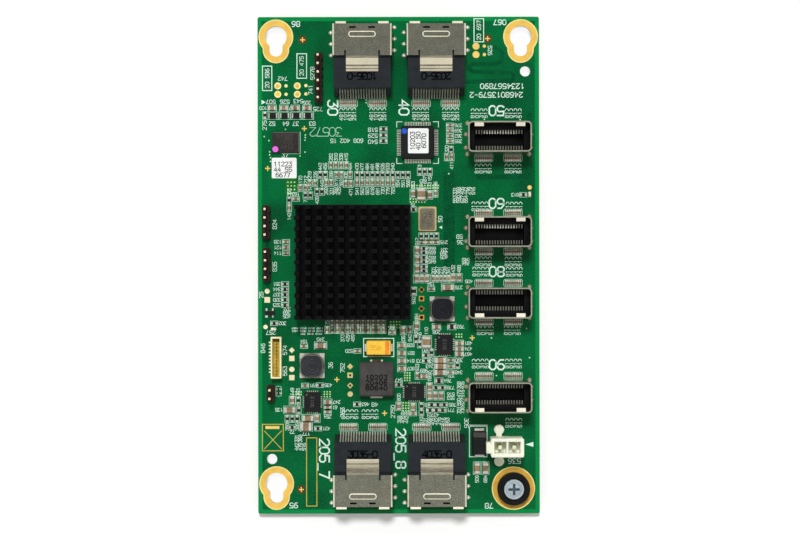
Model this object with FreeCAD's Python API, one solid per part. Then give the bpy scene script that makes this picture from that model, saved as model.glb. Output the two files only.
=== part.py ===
import FreeCAD, Part
import math
import os

# Storage expander board in millimetres. +X is right and +Y is up as seen from the part side,
# and +Z is out of that side. The board rests on the tips of its solder tails at z = 0.
# Places on the board are given in columns and rows of its placement grid.

V = FreeCAD.Vector

# Board
BOARD_WIDTH = 85.0
BOARD_LENGTH = 150.0
BOARD_THICKNESS = 1.6
BOARD_CORNER = 0.6
TAIL_REACH = 1.4
TAIL_DIAMETER = 0.8
HOLE_CLEARANCE = 0.1

BOARD_BOTTOM = TAIL_REACH
BOARD_TOP = BOARD_BOTTOM + BOARD_THICKNESS
LEFT = -BOARD_WIDTH / 2
RIGHT = BOARD_WIDTH / 2
TOP = BOARD_LENGTH / 2
BOTTOM = -BOARD_LENGTH / 2
TAIL_HOLE = TAIL_DIAMETER + 2 * HOLE_CLEARANCE

# Placement grid
GRID_COLUMNS = 85
GRID_ROWS = 150
COLUMN = BOARD_WIDTH / GRID_COLUMNS
ROW = BOARD_LENGTH / GRID_ROWS

# Keyholes, tooling holes and their gold lands
KEYHOLE_RADIUS = 3.25
KEYHOLE_SLOT_RADIUS = 2.0
KEYHOLE_DROP = 3.95
KEYHOLE_SIDE_INSET = 5.55
KEYHOLE_TOP_INSET = 6.0
KEYHOLE_BOTTOM_INSET = 9.1
LAND_MARGIN = 2.0
LAND_THICKNESS = 0.05
TOOLING_HOLE = 3.1
TOOLING_SIDE_INSET = 4.2
TOOLING_END_INSET = 16.5
KEYHOLES = (
    (LEFT + KEYHOLE_SIDE_INSET, TOP - KEYHOLE_TOP_INSET),
    (RIGHT - KEYHOLE_SIDE_INSET, TOP - KEYHOLE_TOP_INSET),
    (LEFT + KEYHOLE_SIDE_INSET, BOTTOM + KEYHOLE_BOTTOM_INSET),
)
TOOLING_HOLES = (
    (RIGHT - TOOLING_SIDE_INSET, TOP - TOOLING_END_INSET),
    (LEFT + TOOLING_SIDE_INSET, BOTTOM + TOOLING_END_INSET),
)

# Locking screw in its collar
LOCK_SIDE_INSET = 7.95
LOCK_END_INSET = 7.6
LOCK_LAND_DIAMETER = 13.1
COLLAR_DIAMETER = 9.8
COLLAR_HEIGHT = 3.0
COLLAR_RECESS = 1.4
SCREW_DIAMETER = 3.0
SCREW_CLEARANCE = 0.2
HEAD_DIAMETER = 6.0
HEAD_HEIGHT = 2.4
HEAD_CLEARANCE = 0.2
HEAD_ROUNDING = 0.5
CROSS_LENGTH = 3.4
CROSS_WIDTH = 0.8
CROSS_DEPTH = 1.2
LOCK_X = RIGHT - LOCK_SIDE_INSET * COLUMN
LOCK_Y = BOTTOM + LOCK_END_INSET * ROW
COLLAR_BORE = SCREW_DIAMETER + 2 * SCREW_CLEARANCE

# Contacts that all eight ports share
CONTACT_COUNT = 18
CONTACT_PITCH = 0.8
CONTACT_WIDTH = 0.36
CONTACT_ROW = (CONTACT_COUNT - 1) * CONTACT_PITCH
SLOT_END_MARGIN = 0.6
CARD_SLOT_LENGTH = CONTACT_ROW + 2 * SLOT_END_MARGIN

# Edge ports: u is across the port, v is inward from the board's edge, w is up from the board
EDGE_PORT_SPACING = 22.05
EDGE_PORT_MIDDLE = 0.275
CAGE_FRONT = 3.1
CAGE_LENGTH = 9.45
CAGE_WIDTH = 17.8
CAGE_HEIGHT = 9.5
CAGE_WALL = 0.4
CAGE_BEND = 0.6
LIP_LENGTH = 0.6
LIP_WIDTH = 3.1
LIP_RISE = 0.35
LIP_OFFSET = 6.35
WINDOW_LENGTH = 2.0
WINDOW_WIDTH = 0.55
WINDOW_OFFSET = 2.85
WINDOW_INSET = 1.1
BEAD_LENGTH = 8.2
BEAD_WIDTH = 1.8
BEAD_HEIGHT = 0.35
BEAD_SLOPE = 0.3
BEAD_INSET = 3.15
SLIT_WIDTH = 0.5
SLIT_LENGTH = 1.5
TONGUE_WIDTH = 9.6
TONGUE_LENGTH = 4.75
TONGUE_STEP = 0.35
CAGE_TAIL_PITCH = 3.45
CAGE_TAIL_FIRST_NEAR = 0.15
CAGE_TAIL_FIRST_FAR = 1.7
CAGE_TAIL_OUT = 0.7
CAGE_TAILS_PER_SIDE = 3
FOOT_WIDTH = 0.9
FOOT_HEIGHT = 0.4
CAGE_REAR = CAGE_FRONT + CAGE_LENGTH

NOSE_SETBACK = 5.9
NOSE_CLEARANCE = 0.15
NOSE_DROP = 1.0
CARD_SLOT_HEIGHT = 1.9
CARD_SLOT_DEPTH = 3.0
INNER_CONTACT_THICKNESS = 0.3
INNER_CONTACT_SETBACK = 0.3
HOUSING_GAP = 0.75
HOUSING_LENGTH = 8.8
HOUSING_WIDTH = 17.1
TONGUE_CLEARANCE = 0.1
COMB_LENGTH = 1.9
COMB_HIGH = 6.2
COMB_LOW = 1.4
COMB_RIB = 0.3
COMB_GAP_CLEARANCE = 0.3
LEAD_THICKNESS = 0.25
LEAD_EXIT_HEIGHT = 4.6
LEAD_SHELF = 0.4
LEAD_FOOT = 1.1
LEAD_REACH = 2.7
HOUSING_FRONT = CAGE_REAR + HOUSING_GAP
HOUSING_REAR = HOUSING_FRONT + HOUSING_LENGTH
HOUSING_HEIGHT = CAGE_HEIGHT - TONGUE_STEP - CAGE_WALL - TONGUE_CLEARANCE
EDGE_PORT_LEFT_X = (EDGE_PORT_MIDDLE - EDGE_PORT_SPACING / 2) * COLUMN
EDGE_PORT_RIGHT_X = (EDGE_PORT_MIDDLE + EDGE_PORT_SPACING / 2) * COLUMN
EDGE_PORTS = (
    (EDGE_PORT_LEFT_X, TOP, 180),
    (EDGE_PORT_RIGHT_X, TOP, 180),
    (EDGE_PORT_LEFT_X, BOTTOM, 0),
    (EDGE_PORT_RIGHT_X, BOTTOM, 0),
)

# Upright ports: u is along the port, v is across it towards the tabs, w is up from the board
UPRIGHT_INSET = 12.35
UPRIGHT_ROWS = (38.15, 9.9, -11.3, -39.4)
UPRIGHT_TURNS = (0, 0, 180, 180)
SHELL_LENGTH = 18.85
SHELL_WIDTH = 9.1
SHELL_HEIGHT = 11.3
SHELL_WALL = 0.4
SHELL_CORNER = 1.3
TAB_WIDTH = 2.7
TAB_DEPTH = 1.1
TAB_OFFSET = 6.15
TAB_FALL = 0.5
TAB_THICKNESS = 0.35
SIDE_TAIL_PLACES = (1.3, -2.7)
SIDE_TAIL_OUT = 0.3
CORNER_TAIL_OUT = 0.15
INSULATOR_HEIGHT = 5.6
INSULATOR_CLEARANCE = 0.1
CARD_OFFSET = 0.7
CARD_GAP = 3.6
CARD_FLOOR = 1.0
INSULATOR_WALL = 0.35
UPRIGHT_CONTACT_DROP = 0.4
INSULATOR_HALF_WIDTH = SHELL_WIDTH / 2 - SHELL_WALL - INSULATOR_CLEARANCE
UPRIGHT_CONTACT_DEPTH = INSULATOR_HALF_WIDTH - CARD_OFFSET - INSULATOR_WALL - CARD_GAP / 2
SHELL_CORNER_START = SHELL_CORNER - (SHELL_CORNER - SHELL_WALL / 2) / math.sqrt(2)
UPRIGHT_X = RIGHT - UPRIGHT_INSET * COLUMN

# Expander chip, thermal pad and heat sink
COOLER_COLUMN = -13.7
COOLER_ROW = 0.9
EXPANDER_SIDE = 27.0
EXPANDER_HEIGHT = 1.2
LID_SIDE = 21.0
LID_HEIGHT = 1.0
PAD_THICKNESS = 0.25
FIN_COUNT = 11
FIN_PITCH = 3.29
FIN_LENGTH = 1.65
FIN_WIDTH = 1.25
FIN_HEIGHT = 7.5
BASE_THICKNESS = 2.0
BASE_LENGTH = (FIN_COUNT - 1) * FIN_PITCH + FIN_LENGTH
PAD_BOTTOM = BOARD_TOP + EXPANDER_HEIGHT + LID_HEIGHT
SINK_BOTTOM = PAD_BOTTOM + PAD_THICKNESS
COOLER_X = COOLER_COLUMN * COLUMN
COOLER_Y = COOLER_ROW * ROW

# Controller chip with leads on four sides
CONTROLLER_COLUMN = 5.8
CONTROLLER_DROP = 38.0
CONTROLLER_SIDE = 10.1
CONTROLLER_HEIGHT = 1.4
CONTROLLER_STANDOFF = 0.1
CONTROLLER_CHAMFER = 0.5
CONTROLLER_LEAD_COUNT = 16
CONTROLLER_PITCH = 0.5
CONTROLLER_LEAD_WIDTH = 0.22
CONTROLLER_LEAD_REACH = 1.2
CONTROLLER_LEAD_FOOT = 0.6
CONTROLLER_LEAD_SHELF = 0.25
CONTROLLER_LEAD_THICKNESS = 0.15
CONTROLLER_LEAD_EXIT = 0.65
LABEL_THICKNESS = 0.1
LABEL_CORNER = 0.4
CONTROLLER_LABEL_WIDTH = 6.2
CONTROLLER_LABEL_LENGTH = 7.5
CONTROLLER_LABEL_OFFSET = (0.2, 0.45)
CONTROLLER_X = CONTROLLER_COLUMN * COLUMN
CONTROLLER_Y = TOP - CONTROLLER_DROP * ROW

# Flash chip and the loose label beside it
FLASH_INSET = 8.5
FLASH_DROP = 37.9
FLASH_LENGTH = 8.2
FLASH_WIDTH = 6.25
FLASH_HEIGHT = 0.8
FLASH_LABEL_INSET = 8.0
FLASH_LABEL_DROP = 45.6
FLASH_LABEL_LENGTH = 7.5
FLASH_LABEL_WIDTH = 6.2

# Leadless regulator chips: x, y, and whether the long side stands along Y
REGULATOR_LENGTH = 6.0
REGULATOR_WIDTH = 5.0
REGULATOR_HEIGHT = 0.9
REGULATOR_PLACES = (
    (LEFT + 16.4 * COLUMN, BOTTOM + 33.75 * ROW, True),
    (13.85 * COLUMN, BOTTOM + 51.0 * ROW, True),
    (4.65 * COLUMN, BOTTOM + 36.75 * ROW, False),
)

# Moulded power inductor
INDUCTOR_COLUMN = -6.7
INDUCTOR_RISE = 40.75
INDUCTOR_SIDE = 10.3
INDUCTOR_HEIGHT = 4.0
INDUCTOR_CHAMFER = 0.5
STRAP_WIDTH = 3.7
STRAP_THICKNESS = 0.6
STRAP_HEIGHT = 1.8
INDUCTOR_X = INDUCTOR_COLUMN * COLUMN
INDUCTOR_Y = BOTTOM + INDUCTOR_RISE * ROW

# Drum inductors on square bases
DRUM_PLACES = (
    (LEFT + 16.35 * COLUMN, BOTTOM + 44.75 * ROW),
    (13.1 * COLUMN, -13.2 * ROW),
)
DRUM_BASE_SIDE = 7.5
DRUM_BASE_HEIGHT = 1.0
DRUM_SIDE = 7.0
DRUM_ROUNDING = 2.6
DRUM_HEIGHT = 3.0
DRUM_EDGE = 0.3

# Moulded capacitor
TANTALUM_COLUMN = -6.05
TANTALUM_RISE = 50.15
TANTALUM_LENGTH = 7.3
TANTALUM_WIDTH = 4.3
TANTALUM_HEIGHT = 2.9
TANTALUM_EDGE = 0.25
TANTALUM_STRAP_WIDTH = 2.3
TANTALUM_STRAP_THICKNESS = 0.55
TANTALUM_STRAP_HEIGHT = 1.3
TANTALUM_X = TANTALUM_COLUMN * COLUMN
TANTALUM_Y = BOTTOM + TANTALUM_RISE * ROW

# Power diode
DIODE_INSET = 18.25
DIODE_RISE = 21.5
DIODE_LENGTH = 7.1
DIODE_WIDTH = 4.4
DIODE_HEIGHT = 2.3
DIODE_EDGE = 0.3
DIODE_STRAP_WIDTH = 2.8
DIODE_STRAP_THICKNESS = 0.7
DIODE_STRAP_HEIGHT = 1.1
DIODE_X = RIGHT - DIODE_INSET * COLUMN
DIODE_Y = BOTTOM + DIODE_RISE * ROW

# Clock oscillator
OSCILLATOR_COLUMN = 8.7
OSCILLATOR_ROW = 13.95
OSCILLATOR_WIDTH = 5.5
OSCILLATOR_LENGTH = 7.4
OSCILLATOR_BASE_HEIGHT = 1.0
OSCILLATOR_LID_MARGIN = 0.55
OSCILLATOR_LID_HEIGHT = 0.5
OSCILLATOR_CORNER = 0.5
OSCILLATOR_X = OSCILLATOR_COLUMN * COLUMN
OSCILLATOR_Y = OSCILLATOR_ROW * ROW

# Wire connector along the left edge
WIRE_INSET = 5.65
WIRE_RISE = 47.25
WIRE_COUNT = 10
WIRE_PITCH = 1.0
WIRE_END_MARGIN = 1.75
WIRE_WIDTH = 3.2
WIRE_HEIGHT = 4.0
WIRE_WALL = 0.5
WIRE_FLOOR = 1.2
WIRE_CONTACT_WIDTH = 0.4
WIRE_CONTACT_REACH = 0.75
WIRE_CONTACT_HEIGHT = 0.35
WIRE_PIN_HEIGHT = 1.6
WIRE_X = LEFT + WIRE_INSET * COLUMN
WIRE_Y = BOTTOM + WIRE_RISE * ROW
WIRE_LENGTH = (WIRE_COUNT - 1) * WIRE_PITCH + 2 * WIRE_END_MARGIN

# Power connector
POWER_INSET = 10.2
POWER_RISE = 20.6
POWER_PITCH = 4.2
POWER_CAVITY = 3.7
POWER_WALL = 0.95
POWER_HEIGHT = 10.0
POWER_FLOOR = 2.5
POWER_PIN_SIDE = 1.0
POWER_PIN_TOP = 7.5
POWER_PIN_HOLE = 1.8
POWER_CORNER = 0.5
LATCH_LENGTH = 3.3
LATCH_REACH = 1.35
LATCH_TOP_DROP = 0.3
LATCH_HEIGHT = 4.5
EAR_DIAMETER = 3.0
EAR_NECK = 1.7
EAR_HEIGHT = 1.6
EAR_OFFSET = 2.1
EAR_GAP = 1.95
PEG_DIAMETER = 1.6
POWER_X = RIGHT - POWER_INSET * COLUMN
POWER_Y = BOTTOM + POWER_RISE * ROW
POWER_LENGTH = POWER_PITCH + POWER_CAVITY + 2 * POWER_WALL
POWER_WIDTH = POWER_CAVITY + 2 * POWER_WALL

# Pin headers: place of the middle, number of pins along Y
HEADER_PITCH = 2.54
HEADER_STRIP_WIDTH = 2.5
HEADER_STRIP_HEIGHT = 2.5
HEADER_PIN_SIDE = 0.64
HEADER_PIN_HEIGHT = 8.5
HEADER_PIN_FIT = 0.02
HEADER_NOTCH = 0.4
HEADERS = (
    (LEFT + 18.5 * COLUMN, TOP - 18.55 * ROW, 6),
    (LEFT + 2.6 * COLUMN, 13.0 * ROW, 4),
    (LEFT + 2.7 * COLUMN, 0.25 * ROW, 4),
    (LEFT + 3.95 * COLUMN, BOTTOM + 36.5 * ROW, 2),
)
HEADER_HOLE = HEADER_PIN_SIDE * math.sqrt(2) + 2 * HOLE_CLEARANCE

# Small diodes, four-lead chip and indicator lamps
SMALL_DIODE_LENGTH = 1.9
SMALL_DIODE_WIDTH = 1.5
SMALL_DIODE_HEIGHT = 1.0
SMALL_DIODE_STRAP = 0.4
SMALL_DIODE_STRAP_HEIGHT = 0.3
SMALL_DIODE_COUNT = 4
SMALL_DIODE_STEP = 3.55
SMALL_DIODE_PLACE = (LEFT + 4.6 * COLUMN, TOP - 29.8 * ROW)
FOUR_LEAD_PLACE = (LEFT + 3.55 * COLUMN, -14.35 * ROW)
FOUR_LEAD_LENGTH = 2.9
FOUR_LEAD_WIDTH = 1.3
FOUR_LEAD_HEIGHT = 1.0
FOUR_LEAD_OFFSET = 0.95
FOUR_LEAD_FOOT_WIDTH = 0.45
FOUR_LEAD_WIDE_FOOT = 0.8
FOUR_LEAD_FOOT_REACH = 0.75
FOUR_LEAD_FOOT_HEIGHT = 0.25
LAMP_LENGTH = 1.6
LAMP_WIDTH = 0.8
LAMP_HEIGHT = 0.6
LAMP_DOME = 0.25
LAMPS = (
    (RIGHT - 2.9 * COLUMN, 21.3 * ROW, True),
    (LEFT + 4.7 * COLUMN, -19.2 * ROW, False),
)

# Chips: length between the ends, width, height
SMALL = (1.0, 0.5, 0.5)
MEDIUM = (1.6, 0.8, 0.6)
LARGE = (2.0, 1.25, 0.9)
POWER = (3.2, 1.6, 1.4)
BULK = (3.2, 2.5, 1.7)
FLAT = 0
TURNED = 90

# Where each area of chips is measured from
UPPER_LEFT = (LEFT, TOP)
LEFT_SIDE = (LEFT, 0.0)
RIGHT_SIDE = (RIGHT, 0.0)
COOLER = (COOLER_X, COOLER_Y)
CONTROLLER = (CONTROLLER_X, CONTROLLER_Y)
LOWER = (0.0, BOTTOM)
LOWER_LEFT = (LEFT, BOTTOM)
LOWER_RIGHT = (RIGHT, BOTTOM)

# Rows of chips: area, first x and y, count, step in x and y, size, turn
CAPACITOR_ROWS = (
    (UPPER_LEFT, 4.4, -27.5, 4, 3.5, 0.0, LARGE, FLAT),
    (LEFT_SIDE, 9.5, 17.3, 1, 0.0, 0.0, MEDIUM, TURNED),
    (LEFT_SIDE, 11.5, 20.1, 1, 0.0, 0.0, MEDIUM, FLAT),
    (LEFT_SIDE, 8.5, 7.1, 3, 0.0, -1.7, MEDIUM, FLAT),
    (COOLER, 1.2, 24.0, 8, 1.55, 0.0, MEDIUM, TURNED),
    (COOLER, -6.7, 29.3, 4, 1.55, 0.0, MEDIUM, TURNED),
    (COOLER, -5.0, 26.4, 2, 1.5, 0.0, MEDIUM, TURNED),
    (COOLER, -0.9, 26.4, 1, 0.0, 0.0, MEDIUM, TURNED),
    (COOLER, -13.1, 23.9, 2, 1.7, 0.0, MEDIUM, TURNED),
    (COOLER, -8.1, 24.0, 2, 1.5, 0.0, MEDIUM, TURNED),
    (COOLER, -2.2, 23.7, 2, 1.5, 0.0, MEDIUM, TURNED),
    (COOLER, -15.9, 22.5, 2, 1.6, 0.0, MEDIUM, TURNED),
    (COOLER, -6.4, -18.2, 11, 1.55, 0.0, MEDIUM, TURNED),
    (COOLER, -7.9, -20.4, 12, 1.55, 0.0, MEDIUM, TURNED),
    (COOLER, 11.7, -21.2, 1, 0.0, 0.0, MEDIUM, FLAT),
    (COOLER, 20.7, 6.0, 3, 2.1, 0.0, MEDIUM, FLAT),
    (COOLER, 19.3, 3.5, 3, 0.0, -2.75, LARGE, TURNED),
    (COOLER, 19.1, -5.0, 3, 1.6, 0.0, LARGE, TURNED),
    (COOLER, 24.2, -5.0, 5, 1.15, 0.0, MEDIUM, TURNED),
    (COOLER, 30.2, -4.75, 2, 1.75, 0.0, LARGE, TURNED),
    (COOLER, 23.5, -8.1, 1, 0.0, 0.0, MEDIUM, FLAT),
    (COOLER, 28.5, -7.65, 1, 0.0, 0.0, POWER, FLAT),
    (COOLER, 25.1, -19.5, 1, 0.0, 0.0, LARGE, FLAT),
    (CONTROLLER, 9.8, 5.2, 4, 0.0, -1.6, MEDIUM, FLAT),
    (CONTROLLER, 8.8, -4.4, 2, 1.5, 0.0, MEDIUM, TURNED),
    (CONTROLLER, -1.4, -15.5, 1, 0.0, 0.0, LARGE, TURNED),
    (CONTROLLER, 1.1, -15.6, 1, 0.0, 0.0, BULK, TURNED),
    (CONTROLLER, 3.6, -15.8, 1, 0.0, 0.0, LARGE, TURNED),
    (CONTROLLER, 5.4, -15.4, 1, 0.0, 0.0, MEDIUM, TURNED),
    (LOWER, 0.9, 50.8, 4, 0.0, -2.35, LARGE, FLAT),
    (LOWER, 8.35, 51.8, 1, 0.0, 0.0, BULK, TURNED),
    (LOWER, 1.4, 55.3, 1, 0.0, 0.0, LARGE, TURNED),
    (LOWER, 3.4, 55.6, 1, 0.0, 0.0, MEDIUM, TURNED),
    (LOWER, 5.4, 56.6, 1, 0.0, 0.0, LARGE, TURNED),
    (LOWER, 12.6, 46.3, 2, 0.0, -1.85, POWER, FLAT),
    (LOWER, 15.7, 46.3, 2, 0.0, -1.85, MEDIUM, FLAT),
    (LOWER, 12.4, 42.6, 1, 0.0, 0.0, POWER, FLAT),
    (LOWER, 15.6, 42.6, 1, 0.0, 0.0, MEDIUM, FLAT),
    (LOWER, 5.6, 41.6, 1, 0.0, 0.0, MEDIUM, TURNED),
    (LOWER, 7.6, 41.5, 1, 0.0, 0.0, LARGE, FLAT),
    (LOWER, 9.3, 38.2, 1, 0.0, 0.0, LARGE, TURNED),
    (LOWER, 9.3, 35.5, 3, 1.75, 0.0, LARGE, TURNED),
    (LOWER, 0.0, 32.4, 1, 0.0, 0.0, LARGE, TURNED),
    (LOWER, 4.3, 32.1, 1, 0.0, 0.0, LARGE, TURNED),
    (LOWER, 4.3, 30.2, 1, 0.0, 0.0, MEDIUM, FLAT),
    (LOWER, -12.5, 49.1, 1, 0.0, 0.0, MEDIUM, FLAT),
    (LOWER, 18.3, 51.4, 3, 0.0, -1.65, LARGE, FLAT),
    (LOWER_LEFT, 13.9, 50.6, 1, 0.0, 0.0, MEDIUM, FLAT),
    (LOWER_LEFT, 18.9, 50.8, 1, 0.0, 0.0, POWER, FLAT),
    (LOWER_LEFT, 14.2, 38.7, 1, 0.0, 0.0, MEDIUM, FLAT),
    (LOWER_LEFT, 10.3, 34.2, 1, 0.0, 0.0, LARGE, TURNED),
    (LOWER_LEFT, 9.6, 31.4, 1, 0.0, 0.0, POWER, FLAT),
    (LOWER_LEFT, 15.1, 28.9, 1, 0.0, 0.0, POWER, FLAT),
    (LOWER_LEFT, 17.8, 28.8, 1, 0.0, 0.0, LARGE, TURNED),
    (LOWER_LEFT, 14.5, 26.4, 1, 0.0, 0.0, BULK, FLAT),
    (LOWER_LEFT, 21.0, 33.7, 1, 0.0, 0.0, LARGE, FLAT),
    (LOWER_LEFT, 21.0, 32.1, 2, 0.0, -1.4, MEDIUM, FLAT),
    (LOWER_RIGHT, -18.95, 13.7, 2, 2.55, 0.0, POWER, TURNED),
)
RESISTOR_ROWS = (
    (UPPER_LEFT, 2.2, -29.7, 1, 0.0, 0.0, MEDIUM, TURNED),
    (LEFT_SIDE, 9.5, 19.6, 1, 0.0, 0.0, MEDIUM, TURNED),
    (LEFT_SIDE, 8.2, -5.6, 5, 0.0, -1.6, MEDIUM, FLAT),
    (LEFT_SIDE, 4.9, -17.5, 1, 0.0, 0.0, MEDIUM, FLAT),
    (RIGHT_SIDE, -4.8, 21.2, 1, 0.0, 0.0, MEDIUM, FLAT),
    (COOLER, 1.2, 26.3, 11, 1.54, 0.0, MEDIUM, TURNED),
    (COOLER, -9.9, 26.4, 2, 1.5, 0.0, MEDIUM, TURNED),
    (COOLER, -10.9, 21.3, 2, 1.5, 0.0, MEDIUM, TURNED),
    (COOLER, -14.4, 20.2, 2, 1.5, 0.0, MEDIUM, TURNED),
    (COOLER, 18.2, 15.9, 1, 0.0, 0.0, MEDIUM, FLAT),
    (COOLER, 20.5, 7.8, 4, 1.55, 0.0, MEDIUM, TURNED),
    (COOLER, 21.3, 4.1, 3, 0.0, -2.75, MEDIUM, FLAT),
    (COOLER, 21.3, 2.9, 3, 0.0, -2.75, MEDIUM, FLAT),
    (COOLER, 18.2, -8.8, 1, 0.0, 0.0, LARGE, TURNED),
    (COOLER, 29.7, -19.5, 1, 0.0, 0.0, LARGE, FLAT),
    (CONTROLLER, -10.3, 4.1, 3, 0.0, -1.8, MEDIUM, FLAT),
    (CONTROLLER, 10.1, -2.2, 1, 0.0, 0.0, MEDIUM, TURNED),
    (CONTROLLER, 0.6, -8.8, 3, 1.55, 0.0, MEDIUM, TURNED),
    (LOWER, 5.2, 52.7, 2, 1.15, -1.6, MEDIUM, TURNED),
    (LOWER, 8.2, 47.8, 2, 0.0, -1.7, MEDIUM, FLAT),
    (LOWER, 9.9, 48.6, 1, 0.0, 0.0, MEDIUM, TURNED),
    (LOWER, 17.7, 44.8, 1, 0.0, 0.0, MEDIUM, TURNED),
    (LOWER, 12.1, 40.1, 1, 0.0, 0.0, LARGE, FLAT),
    (LOWER, 11.2, 38.0, 2, 2.0, 0.0, MEDIUM, FLAT),
    (LOWER, 9.9, 32.8, 3, 1.9, 0.0, MEDIUM, FLAT),
    (LOWER, 9.4, 31.2, 3, 1.9, 0.0, MEDIUM, FLAT),
    (LOWER, 0.0, 38.9, 1, 0.0, 0.0, MEDIUM, FLAT),
    (LOWER, 6.8, 32.4, 2, 0.0, -1.85, MEDIUM, TURNED),
    (LOWER, -12.6, 33.0, 1, 0.0, 0.0, MEDIUM, FLAT),
    (LOWER_LEFT, 18.7, 38.8, 1, 0.0, 0.0, MEDIUM, FLAT),
    (LOWER_LEFT, 6.2, 37.6, 2, 0.0, -1.2, SMALL, FLAT),
    (LOWER_LEFT, 12.1, 34.2, 1, 0.0, 0.0, MEDIUM, TURNED),
    (LOWER_LEFT, 12.3, 31.2, 1, 0.0, 0.0, MEDIUM, TURNED),
    (LOWER_LEFT, 8.8, 28.7, 3, 1.5, 0.0, MEDIUM, TURNED),
    (LOWER_LEFT, 10.3, 26.1, 1, 0.0, 0.0, MEDIUM, FLAT),
    (LOWER_LEFT, 18.1, 25.7, 1, 0.0, 0.0, MEDIUM, FLAT),
)

# Groups of small capacitors beside each port
PORT_GROUP_COUNT = 8
PORT_GROUP_STEP = 0.63
PORT_GROUP_OFFSET = 4.4
PORT_GROUP_GAP = 0.8
INNER_UPRIGHT_PORTS = (1, 2)

# Bare plated pads: area, first x and y, count, step in x and y, form, turn, width, hole
ROUND = "round"
SQUARE = "square"
PAD_ROWS = (
    (UPPER_LEFT, 6.1, -20.8, 2, 0.0, -2.54, ROUND, 0, 2.1, 0.0),
    (UPPER_LEFT, 12.0, -20.8, 2, 0.0, -2.54, ROUND, 0, 2.1, 0.0),
    (UPPER_LEFT, 8.6, -20.8, 2, 0.0, -2.54, ROUND, 0, 1.0, 0.0),
    (UPPER_LEFT, 14.6, -20.7, 2, 0.0, -2.54, ROUND, 0, 1.0, 0.0),
    ((RIGHT, TOP), -19.0, -8.9, 2, 0.0, -2.54, ROUND, 0, 2.1, 0.0),
    ((RIGHT, TOP), -16.5, -8.9, 2, 0.0, -2.54, ROUND, 0, 1.0, 0.0),
    (LEFT_SIDE, 2.8, -7.8, 1, 0.0, 0.0, ROUND, 0, 1.5, 0.0),
    (LEFT_SIDE, 2.8, -10.4, 1, 0.0, 0.0, SQUARE, 0, 1.7, 0.0),
    (LEFT_SIDE, 2.3, -18.6, 1, 0.0, 0.0, ROUND, 0, 1.35, 0.0),
    (RIGHT_SIDE, -2.9, 23.4, 1, 0.0, 0.0, ROUND, 0, 1.3, 0.0),
    (LOWER_LEFT, 10.2, 49.4, 1, 0.0, 0.0, SQUARE, 45, 1.25, 0.0),
    (LOWER_LEFT, 10.2, 46.9, 1, 0.0, 0.0, SQUARE, 0, 1.6, 0.0),
    (LOWER_LEFT, 10.2, 43.6, 1, 0.0, 0.0, ROUND, 0, 1.6, 0.0),
    (LOWER_LEFT, 10.2, 41.1, 1, 0.0, 0.0, SQUARE, 0, 1.6, 0.0),
    (LOWER, -14.7, 44.4, 1, 0.0, 0.0, SQUARE, 45, 1.3, 0.0),
    (LOWER, -14.7, 41.8, 1, 0.0, 0.0, SQUARE, 0, 1.6, 0.7),
    (LOWER, -14.7, 38.7, 1, 0.0, 0.0, SQUARE, 45, 1.3, 0.7),
    (LOWER, -14.7, 36.1, 1, 0.0, 0.0, ROUND, 0, 1.6, 0.0),
    (COOLER, 20.6, -8.3, 2, 0.0, -5.75, SQUARE, 45, 1.3, 0.7),
    (COOLER, 20.6, -11.0, 2, 0.0, -5.7, SQUARE, 0, 1.6, 0.7),
)


# Basic shapes


def block(x0, x1, y0, y1, z0, z1):
    return Part.makeBox(x1 - x0, y1 - y0, z1 - z0, V(x0, y0, z0))


def slab(x, y, z, length, width, height):
    return Part.makeBox(length, width, height, V(x - length / 2, y - width / 2, z))


def rod(x, y, z0, z1, diameter):
    return Part.makeCylinder(diameter / 2, z1 - z0, V(x, y, z0))


def upright_edges(solid):
    return [edge for edge in solid.Edges if abs(edge.Vertexes[0].Z - edge.Vertexes[-1].Z) > 1e-6]


def edges_at(solid, height):
    return [edge for edge in solid.Edges if all(abs(corner.Z - height) < 1e-6 for corner in edge.Vertexes)]


def rounded_slab(x, y, z, length, width, height, radius):
    solid = slab(x, y, z, length, width, height)
    return solid.makeFillet(radius, upright_edges(solid))


def moulded_slab(x, y, z, length, width, height, edge):
    solid = slab(x, y, z, length, width, height)
    return solid.makeChamfer(edge, upright_edges(solid) + edges_at(solid, z + height))


def across(points, x0, x1):
    corners = [V(x0, y, z) for y, z in points]
    return Part.Face(Part.makePolygon(corners + corners[:1])).extrude(V(x1 - x0, 0, 0))


def joined(solids):
    return solids[0].fuse(solids[1:]).removeSplitter()


def moved(shape, x, y, z, turn=0):
    matrix = FreeCAD.Placement(V(x, y, z), FreeCAD.Rotation(V(0, 0, 1), turn)).toMatrix()
    return shape.transformed(matrix, copy=True)


def moved_point(place, u, v):
    x, y, turn = place
    angle = math.radians(turn)
    return x + u * math.cos(angle) - v * math.sin(angle), y + u * math.sin(angle) + v * math.cos(angle)


def save(name, shape):
    shape.exportStep(f"parts/{name}.step")


def save_group(name, solids):
    save(name, Part.makeCompound(solids))


# Board


def keyhole(x, y, margin, z0, z1):
    head = rod(x, y, z0, z1, 2 * (KEYHOLE_RADIUS + margin))
    slot_radius = KEYHOLE_SLOT_RADIUS + margin
    slot = rod(x, y - KEYHOLE_DROP, z0, z1, 2 * slot_radius)
    neck = block(x - slot_radius, x + slot_radius, y - KEYHOLE_DROP, y, z0, z1)
    return joined([head, slot, neck])


def row_places(area, x, y, count, step_x, step_y):
    return [
        (area[0] + (x + i * step_x) * COLUMN, area[1] + (y + i * step_y) * ROW)
        for i in range(count)
    ]


def pin_line(count, pitch):
    return [(i - (count - 1) / 2) * pitch for i in range(count)]


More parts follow.
